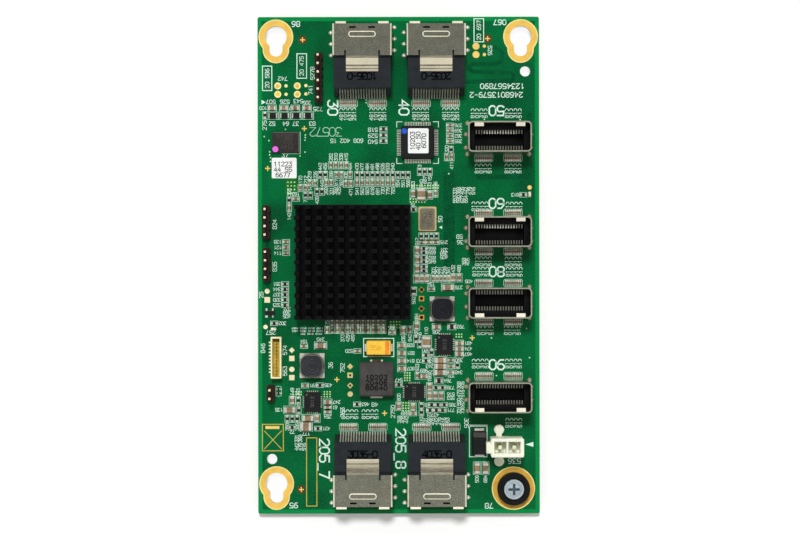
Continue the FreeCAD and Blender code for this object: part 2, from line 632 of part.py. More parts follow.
def cage_tail_points():
    near = [CAGE_FRONT + CAGE_TAIL_FIRST_NEAR + i * CAGE_TAIL_PITCH for i in range(CAGE_TAILS_PER_SIDE)]
    far = [CAGE_FRONT + CAGE_TAIL_FIRST_FAR + i * CAGE_TAIL_PITCH for i in range(CAGE_TAILS_PER_SIDE)]
    out = CAGE_WIDTH / 2 + CAGE_TAIL_OUT
    return [(-out, v) for v in near] + [(out, v) for v in far]


def corner_tail_points():
    half_length = SHELL_LENGTH / 2 - CORNER_TAIL_OUT
    half_width = SHELL_WIDTH / 2 + CORNER_TAIL_OUT
    return [(a * half_length, b * half_width) for a in (-1, 1) for b in (-1, 1)]


def side_tail_points():
    out = SHELL_LENGTH / 2 + SIDE_TAIL_OUT
    return [(a * out, v) for a in (-1, 1) for v in SIDE_TAIL_PLACES]


def upright_places():
    return [(UPRIGHT_X, row * ROW, turn) for row, turn in zip(UPRIGHT_ROWS, UPRIGHT_TURNS)]


def header_points():
    return [(x, y + step) for x, y, count in HEADERS for step in pin_line(count, HEADER_PITCH)]


def power_pin_points():
    return [(POWER_X + step, POWER_Y) for step in pin_line(2, POWER_PITCH)]


def ear_points():
    reach = POWER_WIDTH / 2 + EAR_GAP
    return [(POWER_X - EAR_OFFSET, POWER_Y + side * reach) for side in (-1, 1)]


def board_holes():
    holes = [(x, y, TOOLING_HOLE) for x, y in TOOLING_HOLES]
    holes.append((LOCK_X, LOCK_Y, COLLAR_BORE))
    for place in EDGE_PORTS:
        holes += [(*moved_point(place, u, v), TAIL_HOLE) for u, v in cage_tail_points()]
    for place in upright_places():
        tails = corner_tail_points() + side_tail_points()
        holes += [(*moved_point(place, u, v), TAIL_HOLE) for u, v in tails]
    holes += [(x, y, HEADER_HOLE) for x, y in header_points()]
    holes += [(x, y, POWER_PIN_HOLE) for x, y in power_pin_points()]
    holes += [(x, y, PEG_DIAMETER + 2 * HOLE_CLEARANCE) for x, y in ear_points()]
    for area, x, y, count, step_x, step_y, _, _, _, hole in PAD_ROWS:
        if hole:
            holes += [(*place, hole) for place in row_places(area, x, y, count, step_x, step_y)]
    return holes


def circuit_board():
    board = rounded_slab(0, 0, BOARD_BOTTOM, BOARD_WIDTH, BOARD_LENGTH, BOARD_THICKNESS, BOARD_CORNER)
    cuts = [keyhole(x, y, 0, BOARD_BOTTOM, BOARD_TOP) for x, y in KEYHOLES]
    cuts += [rod(x, y, BOARD_BOTTOM, BOARD_TOP, diameter) for x, y, diameter in board_holes()]
    save("circuit_board", board.cut(cuts))


def mounting_lands():
    top = BOARD_TOP + LAND_THICKNESS
    lands = []
    for x, y in KEYHOLES:
        lands.append(keyhole(x, y, LAND_MARGIN, BOARD_TOP, top).cut(keyhole(x, y, 0, BOARD_TOP, top)))
    ring = rod(LOCK_X, LOCK_Y, BOARD_TOP, top, LOCK_LAND_DIAMETER)
    lands.append(ring.cut(rod(LOCK_X, LOCK_Y, BOARD_TOP, top, COLLAR_BORE)))
    save_group("mounting_lands", lands)


def plated_pads():
    pads = []
    for area, x, y, count, step_x, step_y, form, turn, width, hole in PAD_ROWS:
        for px, py in row_places(area, x, y, count, step_x, step_y):
            if form == ROUND:
                pad = rod(0, 0, 0, LAND_THICKNESS, width)
            else:
                pad = slab(0, 0, 0, width, width, LAND_THICKNESS)
            if hole:
                pad = pad.cut(rod(0, 0, 0, LAND_THICKNESS, hole))
            pads.append(moved(pad, px, py, BOARD_TOP, turn))
    save_group("plated_pads", pads)


def locking_screw():
    z = BOARD_TOP + LAND_THICKNESS
    collar = rod(LOCK_X, LOCK_Y, z, z + COLLAR_HEIGHT, COLLAR_DIAMETER)
    seat = z + COLLAR_HEIGHT - COLLAR_RECESS
    recess = rod(LOCK_X, LOCK_Y, seat, z + COLLAR_HEIGHT, HEAD_DIAMETER + 2 * HEAD_CLEARANCE)
    bore = rod(LOCK_X, LOCK_Y, z, seat, COLLAR_BORE)
    save("screw_collar", collar.cut([recess, bore]))
    head = rod(LOCK_X, LOCK_Y, seat, seat + HEAD_HEIGHT, HEAD_DIAMETER)
    head = head.makeFillet(HEAD_ROUNDING, edges_at(head, seat + HEAD_HEIGHT))
    shank = rod(LOCK_X, LOCK_Y, 0, seat, SCREW_DIAMETER)
    cross_floor = seat + HEAD_HEIGHT - CROSS_DEPTH
    cross = [
        slab(LOCK_X, LOCK_Y, cross_floor, CROSS_LENGTH, CROSS_WIDTH, CROSS_DEPTH),
        slab(LOCK_X, LOCK_Y, cross_floor, CROSS_WIDTH, CROSS_LENGTH, CROSS_DEPTH),
    ]
    save("locking_screw", joined([head, shank]).cut(cross))


# Edge ports


def stadium(u, v, w, length, width, height):
    straight = length - width
    ends = [rod(u + side * straight / 2, v, w, w + height, width) for side in (-1, 1)]
    return joined(ends + [slab(u, v, w, straight, width, height)])


def edge_cage():
    half = CAGE_WIDTH / 2
    roof = CAGE_HEIGHT - CAGE_WALL
    outer = block(-half, half, CAGE_FRONT, CAGE_REAR, 0, CAGE_HEIGHT)
    bends = [edge for edge in edges_at(outer, CAGE_HEIGHT) if edge.BoundBox.YLength > CAGE_LENGTH / 2]
    outer = outer.makeFillet(CAGE_BEND, bends)
    inner = block(-half + CAGE_WALL, half - CAGE_WALL, CAGE_FRONT, CAGE_REAR, CAGE_WALL, roof)
    cuts = [inner]
    for side in (-1, 1):
        u = side * WINDOW_OFFSET
        cuts.append(slab(u, CAGE_FRONT + WINDOW_INSET, roof, WINDOW_LENGTH, WINDOW_WIDTH, CAGE_WALL))
        u = side * (TONGUE_WIDTH + SLIT_WIDTH) / 2
        cuts.append(slab(u, CAGE_REAR - SLIT_LENGTH / 2, roof, SLIT_WIDTH, SLIT_LENGTH, CAGE_WALL))
    pieces = [outer.cut(cuts)]
    bead = stadium(0, CAGE_FRONT + BEAD_INSET, CAGE_HEIGHT, BEAD_LENGTH, BEAD_WIDTH, BEAD_HEIGHT)
    pieces.append(bead.makeChamfer(BEAD_SLOPE, edges_at(bead, CAGE_HEIGHT + BEAD_HEIGHT)))
    for side in (-1, 1):
        u = side * LIP_OFFSET
        front = CAGE_FRONT - LIP_LENGTH
        lip = [
            (CAGE_FRONT, roof),
            (CAGE_FRONT, CAGE_HEIGHT),
            (front, CAGE_HEIGHT + LIP_RISE),
            (front, roof + LIP_RISE),
        ]
        pieces.append(across(lip, u - LIP_WIDTH / 2, u + LIP_WIDTH / 2))
    pieces.append(edge_tongue(roof))
    for u, v in cage_tail_points():
        side = math.copysign(1, u)
        foot_end = u + side * FOOT_WIDTH / 2
        foot = sorted((side * (half - CAGE_WALL / 2), foot_end))
        pieces.append(block(*foot, v - FOOT_WIDTH / 2, v + FOOT_WIDTH / 2, 0, FOOT_HEIGHT))
        pieces.append(rod(u, v, -BOARD_TOP, FOOT_HEIGHT, TAIL_DIAMETER))
    return joined(pieces)


def edge_tongue(roof):
    reach = [CAGE_REAR + TONGUE_LENGTH * share for share in (0.0, 0.2, 0.45, 0.75, 1.0)]
    fall = [0.0, 0.0, TONGUE_STEP, TONGUE_STEP * 0.4, TONGUE_STEP]
    upper = [(v, CAGE_HEIGHT - drop) for v, drop in zip(reach, fall)]
    lower = [(v, roof - drop) for v, drop in zip(reach, fall)]
    return across(upper + lower[::-1], -TONGUE_WIDTH / 2, TONGUE_WIDTH / 2)


def card_slot_middle():
    return CAGE_HEIGHT / 2


def edge_housing():
    half = HOUSING_WIDTH / 2
    nose_half = CAGE_WIDTH / 2 - CAGE_WALL - NOSE_CLEARANCE
    nose_front = CAGE_FRONT + NOSE_SETBACK
    nose_top = CAGE_HEIGHT - CAGE_WALL - NOSE_DROP
    nose = block(-nose_half, nose_half, nose_front, HOUSING_FRONT, CAGE_WALL + NOSE_CLEARANCE, nose_top)
    slot = slab(
        0,
        nose_front + CARD_SLOT_DEPTH / 2,
        card_slot_middle() - CARD_SLOT_HEIGHT / 2,
        CARD_SLOT_LENGTH,
        CARD_SLOT_DEPTH,
        CARD_SLOT_HEIGHT,
    )
    pieces = [nose.cut(slot)]
    pieces.append(block(-half, half, HOUSING_FRONT, HOUSING_REAR, 0, HOUSING_HEIGHT))
    comb_end = HOUSING_REAR + COMB_LENGTH
    rib = [(HOUSING_REAR, 0), (comb_end, 0), (comb_end, COMB_LOW), (HOUSING_REAR, COMB_HIGH)]
    for u in pin_line(CONTACT_COUNT - 1, CONTACT_PITCH):
        pieces.append(across(rib, u - COMB_RIB / 2, u + COMB_RIB / 2))
    inner = CONTACT_ROW / 2 + CONTACT_WIDTH / 2 + COMB_GAP_CLEARANCE
    pieces.append(across(rib, -half, -inner))
    pieces.append(across(rib, inner, half))
    return joined(pieces)


def edge_contacts():
    leads = []
    end = HOUSING_REAR + LEAD_REACH
    toe = end - LEAD_FOOT
    shelf = HOUSING_REAR + LEAD_SHELF
    t = LEAD_THICKNESS
    lead = [
        (HOUSING_REAR, LEAD_EXIT_HEIGHT),
        (shelf, LEAD_EXIT_HEIGHT),
        (toe + t, t),
        (end, t),
        (end, 0),
        (toe, 0),
        (shelf - t, LEAD_EXIT_HEIGHT - t),
        (HOUSING_REAR, LEAD_EXIT_HEIGHT - t),
    ]
    back = CAGE_FRONT + NOSE_SETBACK + CARD_SLOT_DEPTH
    front = CAGE_FRONT + NOSE_SETBACK + INNER_CONTACT_SETBACK
    ceiling = card_slot_middle() + CARD_SLOT_HEIGHT / 2
    floor = card_slot_middle() - CARD_SLOT_HEIGHT / 2
    for u in pin_line(CONTACT_COUNT, CONTACT_PITCH):
        u0 = u - CONTACT_WIDTH / 2
        u1 = u + CONTACT_WIDTH / 2
        leads.append(across(lead, u0, u1))
        leads.append(block(u0, u1, front, back, ceiling - INNER_CONTACT_THICKNESS, ceiling))
        leads.append(block(u0, u1, front, back, floor, floor + INNER_CONTACT_THICKNESS))
    return leads


def edge_ports():
    cage = edge_cage()
    housing = edge_housing()
    contacts = Part.makeCompound(edge_contacts())
    for number, (x, y, turn) in enumerate(EDGE_PORTS, 1):
        save(f"edge_port_{number}_cage", moved(cage, x, y, BOARD_TOP, turn))
        save(f"edge_port_{number}_housing", moved(housing, x, y, BOARD_TOP, turn))
        save(f"edge_port_{number}_contacts", moved(contacts, x, y, BOARD_TOP, turn))


# Upright ports


def upright_shell():
    outer = rounded_slab(0, 0, 0, SHELL_LENGTH, SHELL_WIDTH, SHELL_HEIGHT, SHELL_CORNER)
    inner = rounded_slab(
        0,
        0,
        0,
        SHELL_LENGTH - 2 * SHELL_WALL,
        SHELL_WIDTH - 2 * SHELL_WALL,
        SHELL_HEIGHT,
        SHELL_CORNER - SHELL_WALL,
    )
    pieces = [outer.cut(inner)]
    wall = SHELL_WIDTH / 2 - SHELL_WALL
    end = wall - TAB_DEPTH
    tab = [
        (wall + SHELL_WALL / 2, SHELL_HEIGHT),
        (end, SHELL_HEIGHT - TAB_FALL),
        (end, SHELL_HEIGHT - TAB_FALL - TAB_THICKNESS),
        (wall + SHELL_WALL / 2, SHELL_HEIGHT - TAB_THICKNESS),
    ]
    for side in (-1, 1):
        u = side * TAB_OFFSET
        pieces.append(across(tab, u - TAB_WIDTH / 2, u + TAB_WIDTH / 2))
    for u, v in corner_tail_points():
        a = math.copysign(1, u)
        b = math.copysign(1, v)
        us = sorted((a * (SHELL_LENGTH / 2 - SHELL_CORNER_START), u + a * FOOT_WIDTH / 2))
        vs = sorted((b * (SHELL_WIDTH / 2 - SHELL_CORNER_START), v + b * FOOT_WIDTH / 2))
        pieces.append(block(*us, *vs, 0, FOOT_HEIGHT))
        pieces.append(rod(u, v, -BOARD_TOP, FOOT_HEIGHT, TAIL_DIAMETER))
    for u, v in side_tail_points():
        a = math.copysign(1, u)
        us = sorted((a * (SHELL_LENGTH / 2 - SHELL_WALL / 2), u + a * FOOT_WIDTH / 2))
        pieces.append(block(*us, v - FOOT_WIDTH / 2, v + FOOT_WIDTH / 2, 0, FOOT_HEIGHT))
        pieces.append(rod(u, v, -BOARD_TOP, 0, TAIL_DIAMETER))
    return joined(pieces)


def contact_slot_width():
    return CARD_GAP + 2 * UPRIGHT_CONTACT_DEPTH


def upright_insulator():
    margin = SHELL_WALL + INSULATOR_CLEARANCE
    body = rounded_slab(
        0,
        0,
        0,
        SHELL_LENGTH - 2 * margin,
        SHELL_WIDTH - 2 * margin,
        INSULATOR_HEIGHT,
        SHELL_CORNER - margin,
    )
    slot = slab(0, -CARD_OFFSET, 0, CARD_SLOT_LENGTH, contact_slot_width(), INSULATOR_HEIGHT)
    floor = slab(0, -CARD_OFFSET, 0, CARD_SLOT_LENGTH, CARD_GAP, CARD_FLOOR)
    return joined([body.cut(slot), floor])


def upright_contacts():
    contacts = []
    top = INSULATOR_HEIGHT - UPRIGHT_CONTACT_DROP
    for side in (-1, 1):
        v = -CARD_OFFSET + side * (CARD_GAP + UPRIGHT_CONTACT_DEPTH) / 2
        for u in pin_line(CONTACT_COUNT, CONTACT_PITCH):
            contacts.append(slab(u, v, 0, CONTACT_WIDTH, UPRIGHT_CONTACT_DEPTH, top))
    return contacts


def upright_ports():
    shell = upright_shell()
    insulator = upright_insulator()
    contacts = Part.makeCompound(upright_contacts())
    for number, (x, y, turn) in enumerate(upright_places(), 1):
        save(f"upright_port_{number}_shell", moved(shell, x, y, BOARD_TOP, turn))
        save(f"upright_port_{number}_insulator", moved(insulator, x, y, BOARD_TOP, turn))
        save(f"upright_port_{number}_contacts", moved(contacts, x, y, BOARD_TOP, turn))


# Chips with a cooler, leads or labels


def cooler():
    body = slab(COOLER_X, COOLER_Y, BOARD_TOP, EXPANDER_SIDE, EXPANDER_SIDE, EXPANDER_HEIGHT)
    lid = slab(COOLER_X, COOLER_Y, BOARD_TOP + EXPANDER_HEIGHT, LID_SIDE, LID_SIDE, LID_HEIGHT)
    save("expander_chip", joined([body, lid]))
    save("thermal_pad", slab(COOLER_X, COOLER_Y, PAD_BOTTOM, LID_SIDE, LID_SIDE, PAD_THICKNESS))
    base = slab(COOLER_X, COOLER_Y, SINK_BOTTOM, BASE_LENGTH, BASE_LENGTH, BASE_THICKNESS)
    fin_floor = SINK_BOTTOM + BASE_THICKNESS
    fins = [
        slab(COOLER_X + u, COOLER_Y + v, fin_floor, FIN_LENGTH, FIN_WIDTH, FIN_HEIGHT)
        for u in pin_line(FIN_COUNT, FIN_PITCH)
        for v in pin_line(FIN_COUNT, FIN_PITCH)
    ]
    save("heat_sink", joined([base] + fins))


def controller():
    z = BOARD_TOP + CONTROLLER_STANDOFF
    body = moulded_slab(
        CONTROLLER_X, CONTROLLER_Y, z, CONTROLLER_SIDE, CONTROLLER_SIDE, CONTROLLER_HEIGHT, CONTROLLER_CHAMFER
    )
    save("controller_chip", body)
    t = CONTROLLER_LEAD_THICKNESS
    edge = CONTROLLER_SIDE / 2
    end = edge + CONTROLLER_LEAD_REACH
    toe = end - CONTROLLER_LEAD_FOOT
    shelf = edge + CONTROLLER_LEAD_SHELF
    high = CONTROLLER_STANDOFF + CONTROLLER_LEAD_EXIT
    profile = [
        (edge, high),
        (shelf, high),
        (toe + t, t),
        (end, t),
        (end, 0),
        (toe, 0),
        (shelf - t, high - t),
        (edge, high - t),
    ]
    side = [
        across(profile, u - CONTROLLER_LEAD_WIDTH / 2, u + CONTROLLER_LEAD_WIDTH / 2)
        for u in pin_line(CONTROLLER_LEAD_COUNT, CONTROLLER_PITCH)
    ]
    leads = []
    for turn in (0, 90, 180, 270):
        leads += [moved(lead, CONTROLLER_X, CONTROLLER_Y, BOARD_TOP, turn) for lead in side]
    save_group("controller_leads", leads)
    label = rounded_slab(
        CONTROLLER_X + CONTROLLER_LABEL_OFFSET[0],
        CONTROLLER_Y + CONTROLLER_LABEL_OFFSET[1],
        z + CONTROLLER_HEIGHT,
        CONTROLLER_LABEL_WIDTH,
        CONTROLLER_LABEL_LENGTH,
        LABEL_THICKNESS,
        LABEL_CORNER,
    )
    save("controller_label", label)


def flash():
    x = LEFT + FLASH_INSET * COLUMN
    y = TOP - FLASH_DROP * ROW
    save("flash_chip", slab(x, y, BOARD_TOP, FLASH_LENGTH, FLASH_WIDTH, FLASH_HEIGHT))
    label = rounded_slab(
        LEFT + FLASH_LABEL_INSET * COLUMN,
        TOP - FLASH_LABEL_DROP * ROW,
        BOARD_TOP,
        FLASH_LABEL_LENGTH,
        FLASH_LABEL_WIDTH,
        LABEL_THICKNESS,
        LABEL_CORNER,
    )
    save("flash_label", label)


def regulators():
    chips = []
    for x, y, upright in REGULATOR_PLACES:
        chip = slab(0, 0, 0, REGULATOR_LENGTH, REGULATOR_WIDTH, REGULATOR_HEIGHT)
        chips.append(moved(chip, x, y, BOARD_TOP, 90 if upright else 0))
    save_group("regulator_chips", chips)


# Power parts


def end_straps(x, y, length, width, thickness, height, turn):
    straps = [slab(side * (length + thickness) / 2, 0, 0, thickness, width, height) for side in (-1, 1)]
    return [moved(strap, x, y, BOARD_TOP, turn) for strap in straps]


def power_inductor():
    body = moulded_slab(
        INDUCTOR_X, INDUCTOR_Y, BOARD_TOP, INDUCTOR_SIDE, INDUCTOR_SIDE, INDUCTOR_HEIGHT, INDUCTOR_CHAMFER
    )
    save("power_inductor", body)
    straps = end_straps(INDUCTOR_X, INDUCTOR_Y, INDUCTOR_SIDE, STRAP_WIDTH, STRAP_THICKNESS, STRAP_HEIGHT, 90)
    save_group("power_inductor_terminals", straps)


def drum_inductors():
    bases = []
    cores = []
    for x, y in DRUM_PLACES:
        bases.append(slab(x, y, BOARD_TOP, DRUM_BASE_SIDE, DRUM_BASE_SIDE, DRUM_BASE_HEIGHT))
        z = BOARD_TOP + DRUM_BASE_HEIGHT
        core = rounded_slab(x, y, z, DRUM_SIDE, DRUM_SIDE, DRUM_HEIGHT, DRUM_ROUNDING)
        cores.append(core.makeChamfer(DRUM_EDGE, edges_at(core, z + DRUM_HEIGHT)))
    save_group("drum_inductor_bases", bases)
    save_group("drum_inductor_cores", cores)


def tantalum_capacitor():
    body = moulded_slab(
        TANTALUM_X, TANTALUM_Y, BOARD_TOP, TANTALUM_LENGTH, TANTALUM_WIDTH, TANTALUM_HEIGHT, TANTALUM_EDGE
    )
    save("tantalum_capacitor", body)
    straps = end_straps(
        TANTALUM_X,
        TANTALUM_Y,
        TANTALUM_LENGTH,
        TANTALUM_STRAP_WIDTH,
        TANTALUM_STRAP_THICKNESS,
        TANTALUM_STRAP_HEIGHT,
        0,
    )
    save_group("tantalum_terminals", straps)


def power_diode():
    body = moulded_slab(DIODE_X, DIODE_Y, BOARD_TOP, DIODE_WIDTH, DIODE_LENGTH, DIODE_HEIGHT, DIODE_EDGE)
    save("power_diode", body)
    straps = end_straps(
        DIODE_X, DIODE_Y, DIODE_LENGTH, DIODE_STRAP_WIDTH, DIODE_STRAP_THICKNESS, DIODE_STRAP_HEIGHT, 90
    )
    save_group("diode_terminals", straps)


def oscillator():
    base = rounded_slab(
        OSCILLATOR_X,
        OSCILLATOR_Y,
        BOARD_TOP,
        OSCILLATOR_WIDTH,
        OSCILLATOR_LENGTH,
        OSCILLATOR_BASE_HEIGHT,
        OSCILLATOR_CORNER,
    )
    save("oscillator_base", base)
    lid = rounded_slab(
        OSCILLATOR_X,
        OSCILLATOR_Y,
        BOARD_TOP + OSCILLATOR_BASE_HEIGHT,
        OSCILLATOR_WIDTH - 2 * OSCILLATOR_LID_MARGIN,
        OSCILLATOR_LENGTH - 2 * OSCILLATOR_LID_MARGIN,
        OSCILLATOR_LID_HEIGHT,
        OSCILLATOR_CORNER,
    )
    save("oscillator_lid", lid)


# Connectors


def wire_connector():
    body = slab(WIRE_X, WIRE_Y, BOARD_TOP, WIRE_WIDTH, WIRE_LENGTH, WIRE_HEIGHT)
    floor = BOARD_TOP + WIRE_FLOOR
    depth = WIRE_HEIGHT - WIRE_FLOOR
    cavity = slab(WIRE_X, WIRE_Y, floor, WIRE_WIDTH - 2 * WIRE_WALL, WIRE_LENGTH - 2 * WIRE_WALL, depth)
    save("wire_connector_housing", body.cut(cavity))
    contacts = []
    foot_x = WIRE_X - (WIRE_WIDTH + WIRE_CONTACT_REACH) / 2
    for step in pin_line(WIRE_COUNT, WIRE_PITCH):
        y = WIRE_Y + step
        foot = slab(foot_x, y, BOARD_TOP, WIRE_CONTACT_REACH, WIRE_CONTACT_WIDTH, WIRE_CONTACT_HEIGHT)
        pin = slab(WIRE_X, y, floor, WIRE_CONTACT_WIDTH, WIRE_CONTACT_WIDTH, WIRE_PIN_HEIGHT)
        contacts += [foot, pin]
    save_group("wire_connector_contacts", contacts)


def power_connector():
    body = rounded_slab(POWER_X, POWER_Y, BOARD_TOP, POWER_LENGTH, POWER_WIDTH, POWER_HEIGHT, POWER_CORNER)
    pieces = [body]
    side = POWER_X - POWER_LENGTH / 2
    top = BOARD_TOP + POWER_HEIGHT - LATCH_TOP_DROP
    low = POWER_Y - LATCH_LENGTH / 2
    high = POWER_Y + LATCH_LENGTH / 2
    pieces.append(block(side - LATCH_REACH, side + POWER_CORNER, low, high, top - LATCH_HEIGHT, top))
    ear_top = BOARD_TOP + EAR_HEIGHT
    for x, y in ear_points():
        pieces.append(rod(x, y, BOARD_TOP, ear_top, EAR_DIAMETER))
        pieces.append(block(x - EAR_NECK / 2, x + EAR_NECK / 2, *sorted((POWER_Y, y)), BOARD_TOP, ear_top))
        pieces.append(rod(x, y, BOARD_BOTTOM, BOARD_TOP, PEG_DIAMETER))
    cuts = []
    for x, y in power_pin_points():
        floor = BOARD_TOP + POWER_FLOOR
        cuts.append(slab(x, y, floor, POWER_CAVITY, POWER_CAVITY, POWER_HEIGHT - POWER_FLOOR))
        cuts.append(slab(x, y, BOARD_TOP, POWER_PIN_SIDE, POWER_PIN_SIDE, POWER_FLOOR))
    save("power_connector_housing", joined(pieces).cut(cuts))
    height = BOARD_TOP + POWER_PIN_TOP
    pins = [slab(x, y, 0, POWER_PIN_SIDE, POWER_PIN_SIDE, height) for x, y in power_pin_points()]
    save_group("power_connector_pins", pins)


def header_strips():
    strips = []
    for x, y, count in HEADERS:
        length = count * HEADER_PITCH
        strip = slab(x, y, BOARD_TOP, HEADER_STRIP_WIDTH, length, HEADER_STRIP_HEIGHT)
        cuts = []
        for edge in pin_line(count + 1, HEADER_PITCH):
            for side in (-1, 1):
                notch = rod(0, 0, 0, HEADER_STRIP_HEIGHT, 2 * HEADER_NOTCH)
                cuts.append(moved(notch, x + side * HEADER_STRIP_WIDTH / 2, y + edge, BOARD_TOP))
        for step in pin_line(count, HEADER_PITCH):
            hole = HEADER_PIN_SIDE + 2 * HEADER_PIN_FIT
            cuts.append(slab(x, y + step, BOARD_TOP, hole, hole, HEADER_STRIP_HEIGHT))
        strips.append(strip.cut(cuts))
    save_group("header_strips", strips)
    height = BOARD_TOP + HEADER_PIN_HEIGHT
    pins = [slab(x, y, 0, HEADER_PIN_SIDE, HEADER_PIN_SIDE, height) for x, y in header_points()]
    save_group("header_pins", pins)


# Small parts


def small_parts():
    diodes = []
    for i in range(SMALL_DIODE_COUNT):
        body = slab(0, 0, 0, SMALL_DIODE_LENGTH, SMALL_DIODE_WIDTH, SMALL_DIODE_HEIGHT)
        strap_length = SMALL_DIODE_LENGTH + 2 * SMALL_DIODE_STRAP
        strap = slab(0, 0, 0, strap_length, SMALL_DIODE_WIDTH, SMALL_DIODE_STRAP_HEIGHT)
        x = SMALL_DIODE_PLACE[0] + i * SMALL_DIODE_STEP * COLUMN
        diodes.append(moved(joined([body, strap]), x, SMALL_DIODE_PLACE[1], BOARD_TOP))
    save_group("small_diodes", diodes)
    pieces = [slab(0, 0, 0, FOUR_LEAD_LENGTH, FOUR_LEAD_WIDTH, FOUR_LEAD_HEIGHT)]
    reach = FOUR_LEAD_WIDTH + 2 * FOUR_LEAD_FOOT_REACH
    pieces.append(slab(FOUR_LEAD_OFFSET, 0, 0, FOUR_LEAD_FOOT_WIDTH, reach, FOUR_LEAD_FOOT_HEIGHT))
    pieces.append(slab(-FOUR_LEAD_OFFSET, 0, 0, FOUR_LEAD_FOOT_WIDTH, reach, FOUR_LEAD_FOOT_HEIGHT))
    wide_foot = slab(
        -FOUR_LEAD_OFFSET,
        -(reach - FOUR_LEAD_FOOT_REACH) / 2,
        0,
        FOUR_LEAD_WIDE_FOOT,
        FOUR_LEAD_FOOT_REACH,
        FOUR_LEAD_FOOT_HEIGHT,
    )
    pieces.append(wide_foot)
    save("four_lead_chip", moved(joined(pieces), *FOUR_LEAD_PLACE, BOARD_TOP))
    lamps = []
    for x, y, upright in LAMPS:
        base = slab(0, 0, 0, LAMP_LENGTH, LAMP_WIDTH, LAMP_HEIGHT / 2)
        dome = slab(0, 0, 0, LAMP_LENGTH - 2 * LAMP_DOME, LAMP_WIDTH, LAMP_HEIGHT)
        lamps.append(moved(joined([base, dome]), x, y, BOARD_TOP, 90 if upright else 0))
    save_group("indicator_lamps", lamps)


def chip_rows(rows):
    chips = []
    for area, x, y, count, step_x, step_y, size, turn in rows:
        for px, py in row_places(area, x, y, count, step_x, step_y):
            chips.append(moved(slab(0, 0, 0, *size), px, py, BOARD_TOP, turn))
    return chips


def port_group(place, u, v):
    chips = []
    for step in pin_line(PORT_GROUP_COUNT, PORT_GROUP_STEP):
        x, y = moved_point(place, u + step, v)
        chips.append(moved(slab(0, 0, 0, *SMALL), x, y, BOARD_TOP, TURNED))
    return chips


def port_capacitors():
    chips = []
    half = SMALL[0] / 2
    for place in EDGE_PORTS:
        v = HOUSING_REAR + LEAD_REACH + PORT_GROUP_GAP + half
        for side in (-1, 1):
            chips += port_group(place, side * PORT_GROUP_OFFSET, v)
    for index, place in enumerate(upright_places()):
        v = SHELL_WIDTH / 2 + PORT_GROUP_GAP + half
        for side in (-1, 1):
            chips += port_group(place, side * PORT_GROUP_OFFSET, -v)
            if index in INNER_UPRIGHT_PORTS:
                chips += port_group(place, side * PORT_GROUP_OFFSET, v)
    return chips


def chips():
    save_group("chip_capacitors", chip_rows(CAPACITOR_ROWS) + port_capacitors())
    save_group("chip_resistors", chip_rows(RESISTOR_ROWS))


def main():
    os.makedirs("parts", exist_ok=True)
    circuit_board()
    mounting_lands()
    plated_pads()
    locking_screw()
    edge_ports()
    upright_ports()
    cooler()
    controller()
    flash()
    regulators()
    power_inductor()
    drum_inductors()
    tantalum_capacitor()
    power_diode()
    oscillator()
    wire_connector()
    power_connector()
    header_strips()
    small_parts()
    chips()


main()
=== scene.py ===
import logging
import math
from collections.abc import Callable, Iterable, Sequence
from dataclasses import dataclass, field
from enum import Enum
from functools import partial

import bmesh
import bpy
from mathutils import Euler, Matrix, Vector


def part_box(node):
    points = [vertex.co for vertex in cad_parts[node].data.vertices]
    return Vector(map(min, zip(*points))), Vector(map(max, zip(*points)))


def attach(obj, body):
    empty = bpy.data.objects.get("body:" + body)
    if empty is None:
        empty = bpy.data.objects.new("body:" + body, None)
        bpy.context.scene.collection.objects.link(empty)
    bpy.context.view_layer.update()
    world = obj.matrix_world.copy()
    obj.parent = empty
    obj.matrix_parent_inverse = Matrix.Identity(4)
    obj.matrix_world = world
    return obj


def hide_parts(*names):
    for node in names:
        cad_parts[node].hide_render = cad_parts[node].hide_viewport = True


# Storage expander board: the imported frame, dressed and lit. Sizes are in millimetres.
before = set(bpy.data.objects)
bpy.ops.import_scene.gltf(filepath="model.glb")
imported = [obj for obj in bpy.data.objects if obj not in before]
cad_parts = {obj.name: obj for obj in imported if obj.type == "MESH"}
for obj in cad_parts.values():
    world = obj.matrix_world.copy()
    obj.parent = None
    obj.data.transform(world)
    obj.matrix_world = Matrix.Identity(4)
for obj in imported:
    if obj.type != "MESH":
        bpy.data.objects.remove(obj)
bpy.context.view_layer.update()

LOG = logging.getLogger("expander_board")
MM = 0.001
BODY = "root"
BOARD_TOP = 3.0
BOARD_BOTTOM = 1.4
HALF_WIDTH = 42.5
HALF_LENGTH = 75.0
COPPER_Z = BOARD_TOP + 0.010
VIA_Z = BOARD_TOP + 0.016
PRINT_Z = BOARD_TOP + 0.022
MARK_LIFT = 0.01
RIM_LIFT = 0.005
CROSS_LIFT = 0.002
SLIM_CHIP = 0.6
SKETCH_WELD = 1e-7
NODE_WELD = 2e-6
FLAT_ANGLE = 0.6
SHARP_ANGLE = 32.0
SMOOTH_ANGLE = 40.0
SOLDER_ANGLE = 50.0
GLOSS_SPREAD = 0.06
RELIEF_DEPTH = 0.02
UPWARD = 0.2
LEVEL_TOP = 0.9
CORNERS = ((-1, -1), (-1, 1), (1, -1), (1, 1))
SEEN_RAYS = ("Is Camera Ray", "Is Glossy Ray", "Is Transmission Ray")

Point = tuple[float, float]
Point3 = tuple[float, float, float]
Colour = tuple[float, float, float]
Sides = tuple[float, float, float, float]
Line = tuple[str, float, float]
Socket = bpy.types.NodeSocket


def linear(colour: Colour) -> tuple[float, float, float, float]:
    """Turns a screen colour from 0 to 255 into the renderer's own values and a full alpha."""
    parts = [channel / 255 for channel in colour]
    return *(p / 12.92 if p < 0.04045 else ((p + 0.055) / 1.055) ** 2.4 for p in parts), 1.0


